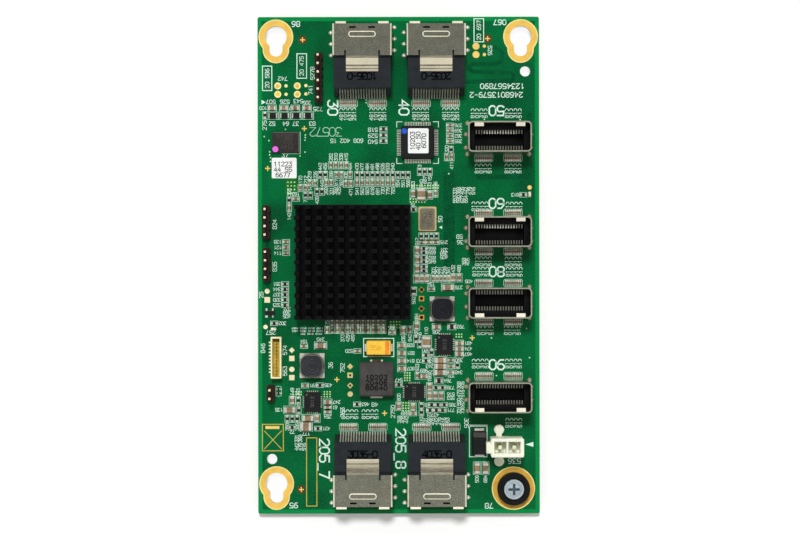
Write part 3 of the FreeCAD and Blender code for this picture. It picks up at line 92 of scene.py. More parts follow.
def shaded(colour: Colour, share: float) -> Colour:
    """Gives a colour made darker or lighter, no brighter than white."""
    return tuple(min(255.0, channel * share) for channel in colour)


class Grain(Enum):
    """How a finish's fine pattern runs: its scale per metre along x, y and z."""

    FINE = (2400.0, 2400.0, 2400.0)
    SANDY = (5200.0, 5200.0, 5200.0)
    CLOUDY = (420.0, 420.0, 420.0)
    ROLLED = (260.0, 3400.0, 3400.0)
    PAPER = (1500.0, 3000.0, 1500.0)


class Turn(Enum):
    """Which way a line of print reads, in degrees from left to right."""

    LEVEL = 0
    CLIMBING = 90
    INVERTED = 180
    FALLING = 270


class Measure(Enum):
    """What a face's finish goes by, as an index among its place and its normal."""

    X = 0
    Y = 1
    Z = 2
    UP = 5


class Graph:
    """A node tree with short calls for what the finishes and the studio need."""

    def __init__(self, tree: bpy.types.NodeTree) -> None:
        """Keeps the tree that the nodes go into."""
        self.tree = tree

    def add(self, kind: str, inputs: dict | None = None, **settings: object) -> bpy.types.Node:
        """Adds a node.

        Args:
            kind: Blender's name for it, after its common beginning.
            inputs: What goes into its inputs, as for fill.
            settings: Properties to set on it.

        Returns:
            The new node.
        """
        node = self.tree.nodes.new(f"ShaderNode{kind}")
        for name, value in settings.items():
            setattr(node, name, value)
        self.fill(node, inputs or {})
        return node

    def fill(self, node: bpy.types.Node, inputs: dict[str | int, object]) -> None:
        """Links or sets a node's inputs.

        Args:
            node: The node.
            inputs: An output to link or a constant value for each input.
        """
        for name, value in inputs.items():
            if isinstance(value, Socket):
                self.tree.links.new(value, node.inputs[name])
            else:
                node.inputs[name].default_value = value

    def place(self) -> Socket:
        """Gives the place on the object."""
        return self.add("TexCoord").outputs["Object"]

    def noise(self, scale: Point3, detail: float = 3.0) -> Socket:
        """Gives a noise that is fixed to the object, by its scale per metre along x, y and z."""
        spot = self.add("Mapping", {"Scale": scale, "Vector": self.place()}).outputs["Vector"]
        return self.add("TexNoise", {"Scale": 1.0, "Detail": detail, "Vector": spot}).outputs["Fac"]

    def span(self, value: Socket, low: float, high: float, start: float = 0.3, stop: float = 0.7) -> Socket:
        """Maps a value, so that start gives low and stop gives high."""
        ends = {"From Min": start, "From Max": stop, "To Min": low, "To Max": high}
        return self.add("MapRange", {"Value": value, **ends}).outputs["Result"]

    def blend(self, share: Socket, first: Colour | Socket, second: Colour | Socket) -> Socket:
        """Mixes two screen colours or outputs by how much of the second shows."""
        first, second = (linear(part) if isinstance(part, tuple) else part for part in (first, second))
        return self.add("Mix", {0: share, 6: first, 7: second}, data_type="RGBA").outputs[2]

    def sum(self, operation: str, first: Socket, second: float | Socket = 0.0) -> Socket:
        """Gives the result of a step of arithmetic, by Blender's name for it."""
        return self.add("Math", {0: first, 1: second}, operation=operation).outputs[0]

    def seen(self) -> Socket:
        """Gives 1 for what the camera, metal or glass sees, and 0 for what lights the scene."""
        camera, metal, glass = map(self.add("LightPath").outputs.get, SEEN_RAYS)
        return self.sum("MAXIMUM", self.sum("MAXIMUM", camera, metal), glass)

    def axes(self, vector: Socket) -> list[Socket]:
        """Gives a vector's three parts without their signs."""
        return [self.sum("ABSOLUTE", part) for part in self.add("SeparateXYZ", {0: vector}).outputs]

    def past(self, x: Socket, y: Socket) -> Socket:
        """Gives how far outside the board's outline a place is, below 0 inside it."""
        beyond = [self.sum("SUBTRACT", part, half * MM) for part, half in ((x, HALF_WIDTH), (y, HALF_LENGTH))]
        return self.sum("MAXIMUM", *beyond)


@dataclass(frozen=True)
class Finish:
    """A surface finish and the slot of the record that it stands for."""

    name: str
    colour: Colour
    roughness: float = 0.5
    metallic: float = 0.0
    variation: float = 0.12
    grain: Grain = Grain.FINE
    relief: float = 0.12
    coat: float = 0.0
    specular: float = 0.22
    depth: float = 0.0
    slot: str = ""

    def material(self) -> bpy.types.Material:
        """Gives the finish's material, made when it is first asked for."""
        return bpy.data.materials.get(f"finish_{self.name}") or self.made()

    def made(self) -> bpy.types.Material:
        """Makes the material: mottled colour, uneven gloss and a fine relief.

        Returns:
            The new material.
        """
        material = bpy.data.materials.new(f"finish_{self.name}")
        material.use_nodes = True
        graph = Graph(material.node_tree)
        shader = graph.tree.nodes["Principled BSDF"]
        grain = graph.noise(self.grain.value)
        bump = graph.add("Bump", {"Strength": self.relief, "Distance": RELIEF_DEPTH * MM, "Height": grain})
        low, high = max(0.03, self.roughness - GLOSS_SPREAD), min(1.0, self.roughness + GLOSS_SPREAD)
        graph.fill(shader, {
            "Base Color": self.paint(graph, grain), "Roughness": graph.span(grain, low, high),
            "Normal": bump.outputs["Normal"],
            "Metallic": self.metallic, "Specular IOR Level": self.specular,
            "Coat Weight": self.coat, "Coat Roughness": 0.15,
        })
        if self.depth:
            deep = {"Weight": 0.8, "Radius": (1.0, 1.0, 0.8), "Scale": self.depth * MM}
            graph.fill(shader, {f"Subsurface {name}": value for name, value in deep.items()})
        return material

    def paint(self, graph: Graph, grain: Socket) -> Socket:
        """Gives the colour over the surface.

        Args:
            graph: The material's nodes.
            grain: The finish's fine pattern.

        Returns:
            A colour output.
        """
        both = graph.sum("ADD", grain, graph.noise(Grain.CLOUDY.value, 2.0))
        share = graph.span(graph.sum("MULTIPLY", both, 0.5), 0.0, 1.0, 0.36, 0.64)
        return graph.blend(share, *(shaded(self.colour, 1 + sign * self.variation) for sign in (-1, 1)))


@dataclass(frozen=True)
class LaminateFinish(Finish):
    """Green solder mask with a paler rim, bare laminate at the cut edges and plated hole walls."""

    rim: Colour = (4, 134, 68)
    rim_width: float = 1.25
    rim_blur: float = 0.15
    deep: Colour = (0, 78, 42)
    cut: Colour = (136, 150, 92)
    plating: Colour = (176, 160, 116)

    def paint(self, graph: Graph, grain: Socket) -> Socket:
        """Gives the colour over the surface, by place and by which way it faces.

        Args:
            graph: The material's nodes.
            grain: The finish's fine pattern.

        Returns:
            A colour output.
        """
        edge = graph.past(*graph.axes(graph.place())[:2])
        planes = graph.noise((70.0, 70.0, 70.0), 4.0)
        mask = graph.blend(graph.span(planes, 0.0, 1.0, 0.35, 0.65), self.deep, self.colour)
        mask = graph.blend(graph.span(grain, 0.0, 0.07), mask, shaded(self.colour, 1.5))
        ends = [(side * self.rim_blur - self.rim_width) * MM for side in (-1, 1)]
        mask = graph.blend(graph.span(edge, 0.0, 1.0, *ends), mask, self.rim)
        wall = graph.blend(graph.span(edge, 0.0, 1.0, -0.8 * MM, -0.2 * MM), self.plating, self.cut)
        up = graph.axes(graph.add("NewGeometry").outputs["Normal"])[2]
        return graph.blend(graph.span(up, 0.0, 1.0, 0.45, 0.55), wall, mask)


covered = partial(Finish, roughness=0.25, relief=0.05, slot="solder_mask")
gold = partial(Finish, roughness=0.4, metallic=0.12, variation=0.03, slot="gold_plate")
nickel = partial(Finish, slot="nickel_shell")
tin = partial(Finish, slot="tin_plate")
contact = partial(Finish, slot="contact_gold")
chip = partial(Finish, slot="chip_black")
ferrite = partial(Finish, slot="ferrite_grey")
label = partial(Finish, slot="label_paper")
SANDY, CLOUDY = Grain.SANDY, Grain.CLOUDY

MASK = LaminateFinish("green_mask", (0, 102, 53), 0.25, relief=0.05, slot="solder_mask")
DARK_COPPER = covered("covered_copper_dark", (0, 80, 44))
# Near-black patches of painted shade on the board, between the edge ports' leads and at the upright ports.
PAINTED_SHADE_MASK = covered("bare_mask_dark", (0, 14, 8), roughness=0.3)
OLIVE_COPPER = covered("covered_copper_olive", (34, 104, 34))
RED_COPPER = covered("bare_copper_rim", (84, 56, 26), roughness=0.4)
TENTED_VIA = covered("tented_via", (176, 226, 172), roughness=0.4)
PRINT = covered("white_print", (216, 242, 228), roughness=0.6, variation=0.05)
FAINT_PRINT = covered("thin_white_print", (164, 208, 184), roughness=0.6, variation=0.1)
RIM_PLATE = gold("pale_plate_rim", (244, 226, 150), roughness=0.5, metallic=0.1, variation=0.05)
PAD_RIM = gold("pale_pad_rim", (248, 240, 168), roughness=0.5, metallic=0.1, variation=0.05)
GOLD = gold("gold_plate", (244, 212, 118), grain=CLOUDY)
LAND_GOLD = gold("land_gold", (240, 196, 94), grain=CLOUDY)
PALE_GOLD = gold("pale_pad", (248, 236, 196), metallic=0.1, grain=CLOUDY)
OLIVE_GOLD = gold("olive_pad", (222, 206, 142), metallic=0.1, grain=CLOUDY)
COPPER_GOLD = gold("copper_pad", (214, 164, 84), metallic=0.1, grain=CLOUDY)
DEEP_GOLD = gold("lock_land_gold", (216, 168, 70), variation=0.04, grain=CLOUDY)
FRAME_GOLD = gold("frame_gold", (204, 182, 80), variation=0.05)
TARGET_GOLD = gold("target_gold", (238, 206, 112), variation=0.05)
NICKEL = nickel("rolled_nickel", (218, 220, 198), 0.2, 1.0, 0.05, relief=0.04)
BRIGHT_NICKEL = nickel("bright_nickel", (238, 230, 204), 0.24, 1.0, 0.04, Grain.ROLLED, 0.03)
DRAWN_NICKEL = nickel("drawn_nickel", (128, 124, 108), 0.3, 0.9, 0.04, relief=0.05)
RIM_NICKEL = nickel("drawn_rim", (164, 166, 148), 0.36, 0.35, 0.06)
# Brighter, less metallic nickel for the sloping faces of the cages' bead: a painted highlight.
BEAD_SLOPE_HIGHLIGHT = nickel("pressed_bead", (246, 240, 218), 0.4, 0.3, 0.04)
TAB_NICKEL = nickel("bent_tab", (240, 234, 214), 0.4, 0.25, 0.06)
OSCILLATOR_LID = nickel("oscillator_lid", (126, 122, 104), 0.36, 0.35, 0.08)
DULL_TIN = tin("dull_tin", (226, 226, 200), 0.5, 0.05, 0.06)
TIN = tin("bright_tin", (218, 214, 204), 0.34, 0.3, 0.1)
SOLDER = tin("solder_joint", (222, 220, 208), 0.3, 0.4, relief=0.2)
PALE_SOLDER = tin("pale_solder", (242, 242, 228), 0.4, 0.1, 0.08, relief=0.2)
WARM_SOLDER = tin("warm_solder", (164, 120, 74), 0.36, 0.4, 0.15, relief=0.2)
DULL_BASE = tin("dull_base", (100, 100, 92), 0.45, 0.3, 0.15)
PLATED_BASE = tin("plated_base", (154, 155, 146), 0.4, 0.3, 0.15)
BROWN_STRAP = tin("brown_strap", (92, 72, 58), 0.4, 0.3, 0.15)
CONTACT = contact("contact_metal", (188, 186, 172), 0.36, 0.35, 0.06)
DEEP_CONTACT = contact("deep_contact_metal", (206, 204, 192), 0.4, 0.1, 0.05)
# Darker copy of the contact metal for the upright ports' lower row: painted shade.
SHADED_LOWER_CONTACT = contact("lower_contact_metal", (124, 124, 114), 0.5, 0.2, 0.08)
# Dark copy of the contact metal for faces that don't face up: painted shade.
SHADED_CONTACT_SIDE = contact("contact_side", (50, 47, 40), 0.5, 0.4, 0.08)
GILT_CONTACT = contact("gilt_contact", (200, 174, 76), 0.5, 0.05, 0.08)
PIN_TIP = contact("pin_tip", (250, 236, 204), 0.4, 0.15, 0.06)
# Dark gold copy for the header pins' faces that don't face up: painted shade.
SHADED_PIN_SIDE = contact("pin_side", (112, 88, 48), 0.4, 0.4, 0.1)
HOUSING = Finish("blue_black_moulding", (34, 38, 42), grain=SANDY, specular=0.18, slot="dark_moulding")
# Near-black: the moulded number on the housings, and also the plates of painted shade under the edge ports'
# windows.
HOUSING_MARK_AND_SHADE = Finish("moulded_mark_and_painted_shade", (5, 5, 7), 0.8, specular=0.05, slot="dark_moulding")
BLACK = Finish("black_moulding", (18, 18, 19), 0.45, grain=SANDY, specular=0.15, slot="black_moulding")
BROWN_BLACK = Finish("brown_black_moulding", (42, 28, 25), grain=SANDY, slot="black_moulding")
ANODISED = Finish("black_anodised", (15, 15, 17), 0.36, 0.3, 0.2, SANDY, specular=0.15, slot="black_anodised")
CHIP = chip("chip_body", (29, 31, 31), 0.48, grain=SANDY, relief=0.25, specular=0.16)
GREY_CHIP = chip("grey_chip_body", (45, 43, 41), 0.45, grain=SANDY, relief=0.25)
# Grey for the marks etched on the chips, and also for the line of painted highlight along the flash chip's
# upper and right edges.
CHIP_MARK_AND_HIGHLIGHT = chip("etched_mark", (92, 92, 89), 0.6)
FAINT_MARK = chip("faint_etched_mark", (70, 68, 64), 0.6)
FERRITE = ferrite("ferrite", (68, 66, 64), 0.62, grain=SANDY, relief=0.4)
# Lighter ferrite for the drum cores' sloping and side faces: a painted highlight.
DRUM_EDGE_HIGHLIGHT = ferrite("drum_edge", (104, 104, 99), 0.45, grain=SANDY)
DARK_FERRITE = ferrite("dark_ferrite", (44, 45, 49), 0.45, grain=SANDY, relief=0.35)
BLACK_FERRITE = ferrite("black_ferrite", (26, 27, 31), 0.45, grain=SANDY, relief=0.35, specular=0.16)
# Grey for the arcs across the left drum's top: painted highlight.
FERRITE_HIGHLIGHT = ferrite("ferrite_line", (68, 70, 72))
FERRITE_MARK = ferrite("ferrite_mark", (20, 18, 18), 0.7)
COPPER_WIRE = ferrite("winding_wire", (126, 74, 44), 0.35, 0.6)
TANTALUM = Finish("yellow_moulding", (255, 202, 74), 0.45, variation=0.05, slot="tantalum_yellow")
TANTALUM_BAR = Finish("orange_bar", (240, 140, 56), variation=0.06, slot="tantalum_yellow")
TANTALUM_MARK = Finish("printed_number", (228, 160, 52), slot="tantalum_yellow")
PAPER = label("label_paper", (240, 242, 240), 0.75, variation=0.03, grain=Grain.PAPER)
INK = label("label_ink", (22, 24, 30), 0.7)
BLUE_DOT = label("blue_ink_dot", (44, 92, 200), 0.6)
PINK_DOT = label("pink_ink_dot", (238, 112, 224), 0.6)
IVORY = Finish("ivory_moulding", (244, 252, 220), 0.42, variation=0.03, depth=2.2, slot="ivory_plastic")
# Paler ivory for the power connector's cavities: painted light, for light through the nylon walls.
LIT_IVORY_CAVITY = Finish("ivory_cavity_painted_light", (255, 255, 242), 0.6, variation=0.01, relief=0.05, slot="ivory_plastic")
CREAM = Finish("cream_moulding", (248, 240, 194), 0.42, variation=0.05, depth=0.8, slot="cream_plastic")
# Amber for the faces inside the wire connector's trough, darker than the cream moulding.
AMBER = Finish("amber_trough", (194, 168, 70), slot="cream_plastic")
THERMAL = Finish("thermal_pad", (126, 130, 134), 0.85, slot="thermal_grey")
CERAMIC = Finish("capacitor_body", (142, 120, 93), 0.42, variation=0.2, slot="capacitor_ceramic")
RESISTOR = Finish("resistor_film", (40, 38, 39), 0.3, slot="resistor_film")
OSCILLATOR_BODY = Finish("oscillator_body", (190, 172, 124), slot="oscillator_ceramic")
OSCILLATOR_INK = Finish("oscillator_ink", (92, 86, 76), 0.6, slot="oscillator_ceramic")
LAMP = Finish("lamp_resin", (236, 236, 206), 0.2, coat=0.5, slot="lamp_resin")
STEEL = Finish("screw_steel", (184, 198, 206), 0.3, 0.5, 0.05, relief=0.05, slot="screw_steel")
SHADED_STEEL = Finish("recess_steel", (92, 106, 116), 0.35, 0.5, 0.08, slot="screw_steel")

Picker = Callable[[Vector, Vector], Finish]

# Strokes of each sign, 4 wide and 6 high.
STROKES: dict[str, tuple[tuple[Point, ...], ...]] = {
    "0": (((0, 1.2), (0, 4.8), (1.2, 6), (2.8, 6), (4, 4.8), (4, 1.2), (2.8, 0), (1.2, 0), (0, 1.2)),),
    "1": (((0.8, 4.8), (2.2, 6), (2.2, 0)),),
    "2": (((0, 5), (1.1, 6), (3, 6), (4, 5), (4, 4), (0, 0), (4, 0)),),
    "3": (((0, 6), (4, 6), (2, 3.6), (3.2, 3.6), (4, 2.6), (4, 1), (3, 0), (1, 0), (0, 1)),),
    "4": (((3, 0), (3, 6), (0, 2), (4, 2)),),
    "5": (((4, 6), (0.3, 6), (0, 3.4), (3, 3.6), (4, 2.6), (4, 1), (3, 0), (1, 0), (0, 0.8)),),
    "6": (
        ((3.6, 6), (1.6, 6), (0, 4), (0, 1), (1, 0), (3, 0), (4, 1), (4, 2.4), (3, 3.4), (1, 3.4), (0, 2.6)),
    ),
    "7": (((0, 6), (4, 6), (1.6, 0)),),
    "8": (
        ((1, 3.2), (0, 4.2), (0, 5.2), (1, 6), (3, 6), (4, 5.2), (4, 4.2), (3, 3.2), (1, 3.2)),
        ((1, 3.2), (0, 2.2), (0, 0.9), (1, 0), (3, 0), (4, 0.9), (4, 2.2), (3, 3.2)),
    ),
    "9": (
        ((0.4, 0), (2.4, 0), (4, 2), (4, 5), (3, 6), (1, 6), (0, 5), (0, 3.6), (1, 2.6), (3, 2.6), (4, 3.4)),
    ),
    "-": (((0.6, 3), (3.4, 3)),),
    "_": (((0, -1.2), (4, -1.2)),),
}


@dataclass(frozen=True)
class Block:
    """An upright box."""

    x0: float
    y0: float
    z0: float
    x1: float
    y1: float
    z1: float

    @classmethod
    def about(cls, middle: Point, size: Point, z0: float = 0.0, z1: float = 1.0) -> "Block":
        """Makes a box from its middle and size as seen from above and its two heights."""
        (x, y), (across, along) = middle, size
        return cls(x - across / 2, y - along / 2, z0, x + across / 2, y + along / 2, z1)

    @property
    def middle(self) -> Point:
        """The middle seen from above."""
        return (self.x0 + self.x1) / 2, (self.y0 + self.y1) / 2

    @property
    def size(self) -> Point:
        """The sizes along x and y."""
        return self.x1 - self.x0, self.y1 - self.y0

    @property
    def turned(self) -> bool:
        """Whether the long side runs along y."""
        return self.size[1] > self.size[0]

    @property
    def slim(self) -> bool:
        """Whether it is one of the smallest chips."""
        return min(self.size) < SLIM_CHIP

    def outline(self, across: float = 0.0, along: float = 0.0, cut: float = 0.0) -> list[Point]:
        """Gives the outline from above, moved outwards along x and y, with its corners cut off."""
        sides = (self.x0 - across, self.y0 - along, self.x1 + across, self.y1 + along)
        return rectangle(sides, cut)

    def meets(self, other: "Block", gap: float) -> bool:
        """Tells whether two boxes are nearer than a gap as seen from above."""
        apart = self.x0 >= other.x1 + gap or other.x0 >= self.x1 + gap
        return not (apart or self.y0 >= other.y1 + gap or other.y0 >= self.y1 + gap)

    def holds(self, place: Vector) -> bool:
        """Tells whether a place is inside."""
        flat = self.x0 < place.x < self.x1 and self.y0 < place.y < self.y1
        return flat and self.z0 < place.z < self.z1


@dataclass(frozen=True)
class Split:
    """Gives a face one of two finishes, or of two further splits, by a limit of a measure."""

    measure: Measure
    limit: float
    below: "Finish | Split"
    above: "Finish | Split"

    def __call__(self, place: Vector, normal: Vector) -> Finish:
        """Gives the finish from the face's middle and its normal."""
        choice = self.above if (*place, *normal)[self.measure.value] > self.limit else self.below
        return choice if isinstance(choice, Finish) else choice(place, normal)


@dataclass(frozen=True)
class Inside:
    """Gives a face one finish inside a box and another outside it."""

    box: Block
    inner: Finish
    outer: Finish

    def __call__(self, place: Vector, normal: Vector) -> Finish:
        """Gives the finish from the face's middle."""
        return self.inner if self.box.holds(place) else self.outer


@dataclass(frozen=True)
class Lettering:
    """A size of print: height of a digit, step from one to the next, width of the stroke."""

    height: float
    step: float
    stroke: float

    def length(self, words: str) -> float:
        """Gives the length of a line."""
        return (len(words) - 1) * self.step + self.height * 0.72

    def room(self, words: str, place: Point, turn: Turn) -> Block:
        """Gives the box that a line takes about its middle."""
        size = (self.length(words), self.height)
        return Block.about(place, size if turn in (Turn.LEVEL, Turn.INVERTED) else size[::-1])


LARGE_PRINT = Lettering(2.9, 2.45, 0.46)
MIDDLE_PRINT = Lettering(1.5, 1.35, 0.24)
SMALL_PRINT = Lettering(0.95, 0.76, 0.14)
TINY_PRINT = Lettering(0.45, 0.5, 0.13)
HAND_PRINT = Lettering(2.6, 1.95, 0.2)
NAME_PRINT = Lettering(1.15, 1.0, 0.165)
FIELD_PRINT = Lettering(1.0, 1.0, 0.16)
LABEL_PRINT = Lettering(1.25, 1.12, 0.22)
LID_PRINT = Lettering(1.3, 1.15, 0.2)
COIL_PRINT = Lettering(1.25, 1.35, 0.34)
TANTALUM_PRINT = Lettering(1.3, 1.2, 0.2)
CHIP_PRINT = Lettering(0.9, 0.85, 0.13)
HOUSING_PRINT = Lettering(2.0, 1.45, 0.4)


def circle(middle: Point, radius: float, sides: int, start: float = 0.0) -> list[Point]:
    """Gives the corners of a regular outline, counter-clockwise from an angle in degrees."""
    angles = [math.radians(start) + math.tau * i / sides for i in range(sides)]
    return [(middle[0] + radius * math.cos(a), middle[1] + radius * math.sin(a)) for a in angles]


def rectangle(sides: Sides, cut: float = 0.0) -> list[Point]:
    """Gives a rectangle's outline, with its corners cut off where asked.

    Args:
        sides: Left, lower, right and upper side.
        cut: Length taken off at each corner.

    Returns:
        The corners, counter-clockwise.
    """
    x0, y0, x1, y1 = sides
    if not cut:
        return [(x0, y0), (x1, y0), (x1, y1), (x0, y1)]
    return [
        (x0 + cut, y0), (x1 - cut, y0), (x1, y0 + cut), (x1, y1 - cut),
        (x1 - cut, y1), (x0 + cut, y1), (x0, y1 - cut), (x0, y0 + cut),
    ]


def raised(outline: Sequence[Point], z: float) -> list[Point3]:
    """Puts an outline at a height."""
    return [(x, y, z) for x, y in outline]


def added(name: str, data: bpy.types.ID) -> bpy.types.Object:
    """Adds an object to the scene.

    Args:
        name: Its name.
        data: Its mesh, lamp or camera.

    Returns:
        The new object.
    """
    thing = bpy.data.objects.new(name, data)
    bpy.context.scene.collection.objects.link(thing)
    return thing


def publish(piece: bpy.types.Object, nodes: Iterable[str] = ()) -> None:
    """Hands a piece to the frame.

    Args:
        piece: The new object.
        nodes: CAD nodes that it stands for.
    """
    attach(piece, BODY)
    if nodes:
        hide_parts(*nodes)
    LOG.info("%s: %d faces", piece.name, len(piece.data.polygons))


def welded(mesh: bpy.types.Mesh, distance: float) -> bmesh.types.BMesh:
    """Copies a mesh and joins its corners that lie on each other.

    Args:
        mesh: The mesh.
        distance: How near, in metres, corners are joined.

    Returns:
        The copy, for the caller to free.
    """
    cage = bmesh.new()
    cage.from_mesh(mesh)
    bmesh.ops.remove_doubles(cage, verts=cage.verts, dist=distance)
    return cage


def smoothed(mesh: bpy.types.Mesh, angle: float) -> None:
    """Shades a mesh smooth across edges up to an angle in degrees."""
    mesh.shade_smooth()
    mesh.set_sharp_from_angle(angle=math.radians(angle))


class Sketch:
    """Faces in millimetres, gathered into one piece."""

    def __init__(self) -> None:
        """Starts with nothing drawn."""
        self.faces: list[tuple[list[Point3], Finish]] = []

    def face(self, corners: Iterable[Point3], finish: Finish) -> None:
        """Draws one face from its corners, counter-clockwise as seen from outside."""
        self.faces.append((list(corners), finish))

    def patch(self, outline: Sequence[Point], z: float, finish: Finish) -> None:
        """Draws a flat patch that faces up."""
        self.face(raised(outline, z), finish)

    def wall(self, lower: Sequence[Point3], upper: Sequence[Point3], finish: Finish) -> None:
        """Joins two outlines of as many corners, counter-clockwise from above, by a band of faces."""
        for i in range(len(lower)):
            self.face([lower[i - 1], lower[i], upper[i], upper[i - 1]], finish)

    def ring(self, rims: Iterable[Sequence[Point]], z: float, finish: Finish) -> None:
        """Draws a flat ring between an outer and an inner outline."""
        self.wall(*(raised(rim, z) for rim in rims), finish)

    def solid(self, levels: Sequence[tuple[Sequence[Point], float]], finish: Finish) -> None:
        """Draws a closed solid from outlines stacked upwards.

        Args:
            levels: Outline and height of each, lowest first.
            finish: Its finish.
        """
        rings = [raised(outline, z) for outline, z in levels]
        for lower, upper in zip(rings, rings[1:]):
            self.wall(lower, upper, finish)
        self.face(rings[-1], finish)
        self.face(rings[0][::-1], finish)

    def slab(self, box: Block, edge: float, finish: Finish) -> None:
        """Draws a block whose upright and upper edges are softened by a width."""
        outer, inner = box.outline(cut=edge), box.outline(-edge, -edge, edge * 0.6)
        self.solid([(outer, box.z0), (outer, box.z1 - edge), (inner, box.z1)], finish)

    def cone(self, place: Point, levels: Sequence[Point], sides: int, finish: Finish) -> None:
        """Draws a turned solid from the radius and height of each ring, lowest first."""
        self.solid([(circle(place, radius, sides), z) for radius, z in levels], finish)

    def ribbon(
        self, path: Sequence[Point], width: float, z: float, finish: Finish, closed: bool = False
    ) -> None:
        """Draws a flat line of even width with mitred corners.

        Args:
            path: Its middle line.
            width: Its width.
            z: Its height.
            finish: Its finish.
            closed: Whether the last point joins the first.
        """
        spots = [Vector(point) for point in path]
        count = len(spots)
        rows: list[tuple[Point3, Point3]] = []
        for i, spot in enumerate(spots):
            before = (spot - spots[i - 1]).normalized() if i or closed else None
            after = (spots[(i + 1) % count] - spot).normalized() if i + 1 < count or closed else None
            along = ((before or after) + (after or before)).normalized()
            if along.length < 0.5:
                along = before
            reach = width / 2 / max(0.5, along.dot(before or after))
            end = spot + along * width * 0.4 * ((before is not None) - (after is not None))
            side = Vector((-along.y, along.x)) * reach
            rows.append(((*(end + side), z), (*(end - side), z)))
        for i in range(count if closed else count - 1):
            (a, b), (c, d) = rows[i], rows[(i + 1) % count]
            self.face([a, b, d, c], finish)

    def text(self, words: str, place: Point, size: Lettering, turn: Turn, z: float, finish: Finish) -> None:
        """Prints a line of digits about its middle.

        Args:
            words: Digits, dashes, underscores and spaces.
            place: Middle of the line.
            size: Size of the print.
            turn: Which way it reads.
            z: Height of the print.
            finish: Its finish.
        """
        x, y = place
        angle = math.radians(turn.value)
        cosine, sine = math.cos(angle), math.sin(angle)
        scale = size.height / 6
        for i, sign in enumerate(words):
            shift = (i - (len(words) - 1) / 2) * size.step
            for stroke in STROKES.get(sign, ()):
                spots = [(shift + (u - 2) * scale, (v - 3) * scale) for u, v in stroke]
                path = [(x + a * cosine - b * sine, y + a * sine + b * cosine) for a, b in spots]
                self.ribbon(path, size.stroke, z, finish)

    def piece(self, name: str, nodes: Iterable[str] = (), smooth: float = 0.0) -> None:
        """Makes the piece and hands it to the frame.

        Args:
            name: Its name.
            nodes: CAD nodes that it stands for.
            smooth: Angle in degrees up to which edges are shaded smooth.
        """
        finishes = list(dict.fromkeys(finish for _, finish in self.faces))
        points: list[Vector] = []
        rows: list[range] = []
        for corners, _ in self.faces:
            rows.append(range(len(points), len(points) + len(corners)))
            points += [Vector(corner) * MM for corner in corners]
        mesh = bpy.data.meshes.new(name)
        mesh.from_pydata(points, [], rows)
        for finish in finishes:
            mesh.materials.append(finish.material())
        mesh.polygons.foreach_set("material_index", [finishes.index(finish) for _, finish in self.faces])
        cage = welded(mesh, SKETCH_WELD)
        cage.to_mesh(mesh)
        cage.free()
        if smooth:
            smoothed(mesh, smooth)
        publish(added(name, mesh), nodes)


def solids(node: str) -> list[Block]:
    """Finds the box of each separate solid in a CAD node.

    Args:
        node: The node's name.

    Returns:
        The boxes, in the order of their lower left corners.
    """
    cage = welded(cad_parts[node].data, NODE_WELD)
    left = set(cage.verts)
    found = []
    while left:
        group = [left.pop()]
        for vert in group:
            for other in (edge.other_vert(vert) for edge in vert.link_edges):
                if other in left:
                    left.remove(other)
                    group.append(other)
        ends = [pick(vert.co[i] for vert in group) / MM for pick in (min, max) for i in range(3)]
        found.append(Block(*ends))
    cage.free()
    return sorted(found, key=lambda box: (round(box.x0, 2), round(box.y0, 2)))


def node_box(node: str) -> Block:
    """Gives a CAD node's box."""
    low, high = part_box(node)
    return Block(*(low / MM), *(high / MM))


def softened(node: str, edge: float) -> bpy.types.Mesh:
    """Copies a CAD node's mesh with softened edges.

    Args:
        node: The node's name.
        edge: Width of the softened edges.

    Returns:
        The new mesh.
    """
    cage = welded(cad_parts[node].data, NODE_WELD)
    bmesh.ops.dissolve_limit(cage, angle_limit=math.radians(FLAT_ANGLE), verts=cage.verts, edges=cage.edges)
    sharp = [e for e in cage.edges if e.is_convex and e.calc_face_angle(0.0) > math.radians(SHARP_ANGLE)]
    bmesh.ops.bevel(
        cage, geom=sharp, offset=edge * MM, offset_type="OFFSET", segments=2, profile=0.5,
        affect="EDGES", clamp_overlap=True,
    )
    mesh = bpy.data.meshes.new(f"{node}_softened")
    cage.to_mesh(mesh)
    cage.free()
    for name in ("custom_normal", "sharp_face"):
        if name in mesh.attributes:
            mesh.attributes.remove(mesh.attributes[name])
    return mesh


def dress(node: str, finish: Finish, edge: float = 0.0, pick: Picker | None = None) -> None:
    """Gives a CAD node its finish, as it is or on a softened copy that stands in its place.

    Args:
        node: The node's name.
        finish: Its finish.
        edge: Width of the softened edges, or 0 for the node as it is.
        pick: Gives a face's finish from its middle in millimetres and its normal.
    """
    mesh = softened(node, edge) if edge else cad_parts[node].data
    finishes = [finish]
    mesh.materials.clear()
    mesh.materials.append(finish.material())
    for polygon in mesh.polygons:
        choice = pick(polygon.center / MM, polygon.normal) if pick else finish
        if choice not in finishes:
            finishes.append(choice)
            mesh.materials.append(choice.material())
        polygon.material_index = finishes.index(choice)
    if edge:
        smoothed(mesh, SMOOTH_ANGLE)
        publish(added(f"{node}_softened", mesh), [node])
    LOG.info("%s: %s", node, finish.name)


class Assembly:
    """A part of the board that is built and dressed together."""

    def build(self) -> None:
        """Builds the assembly's pieces."""
        raise NotImplementedError


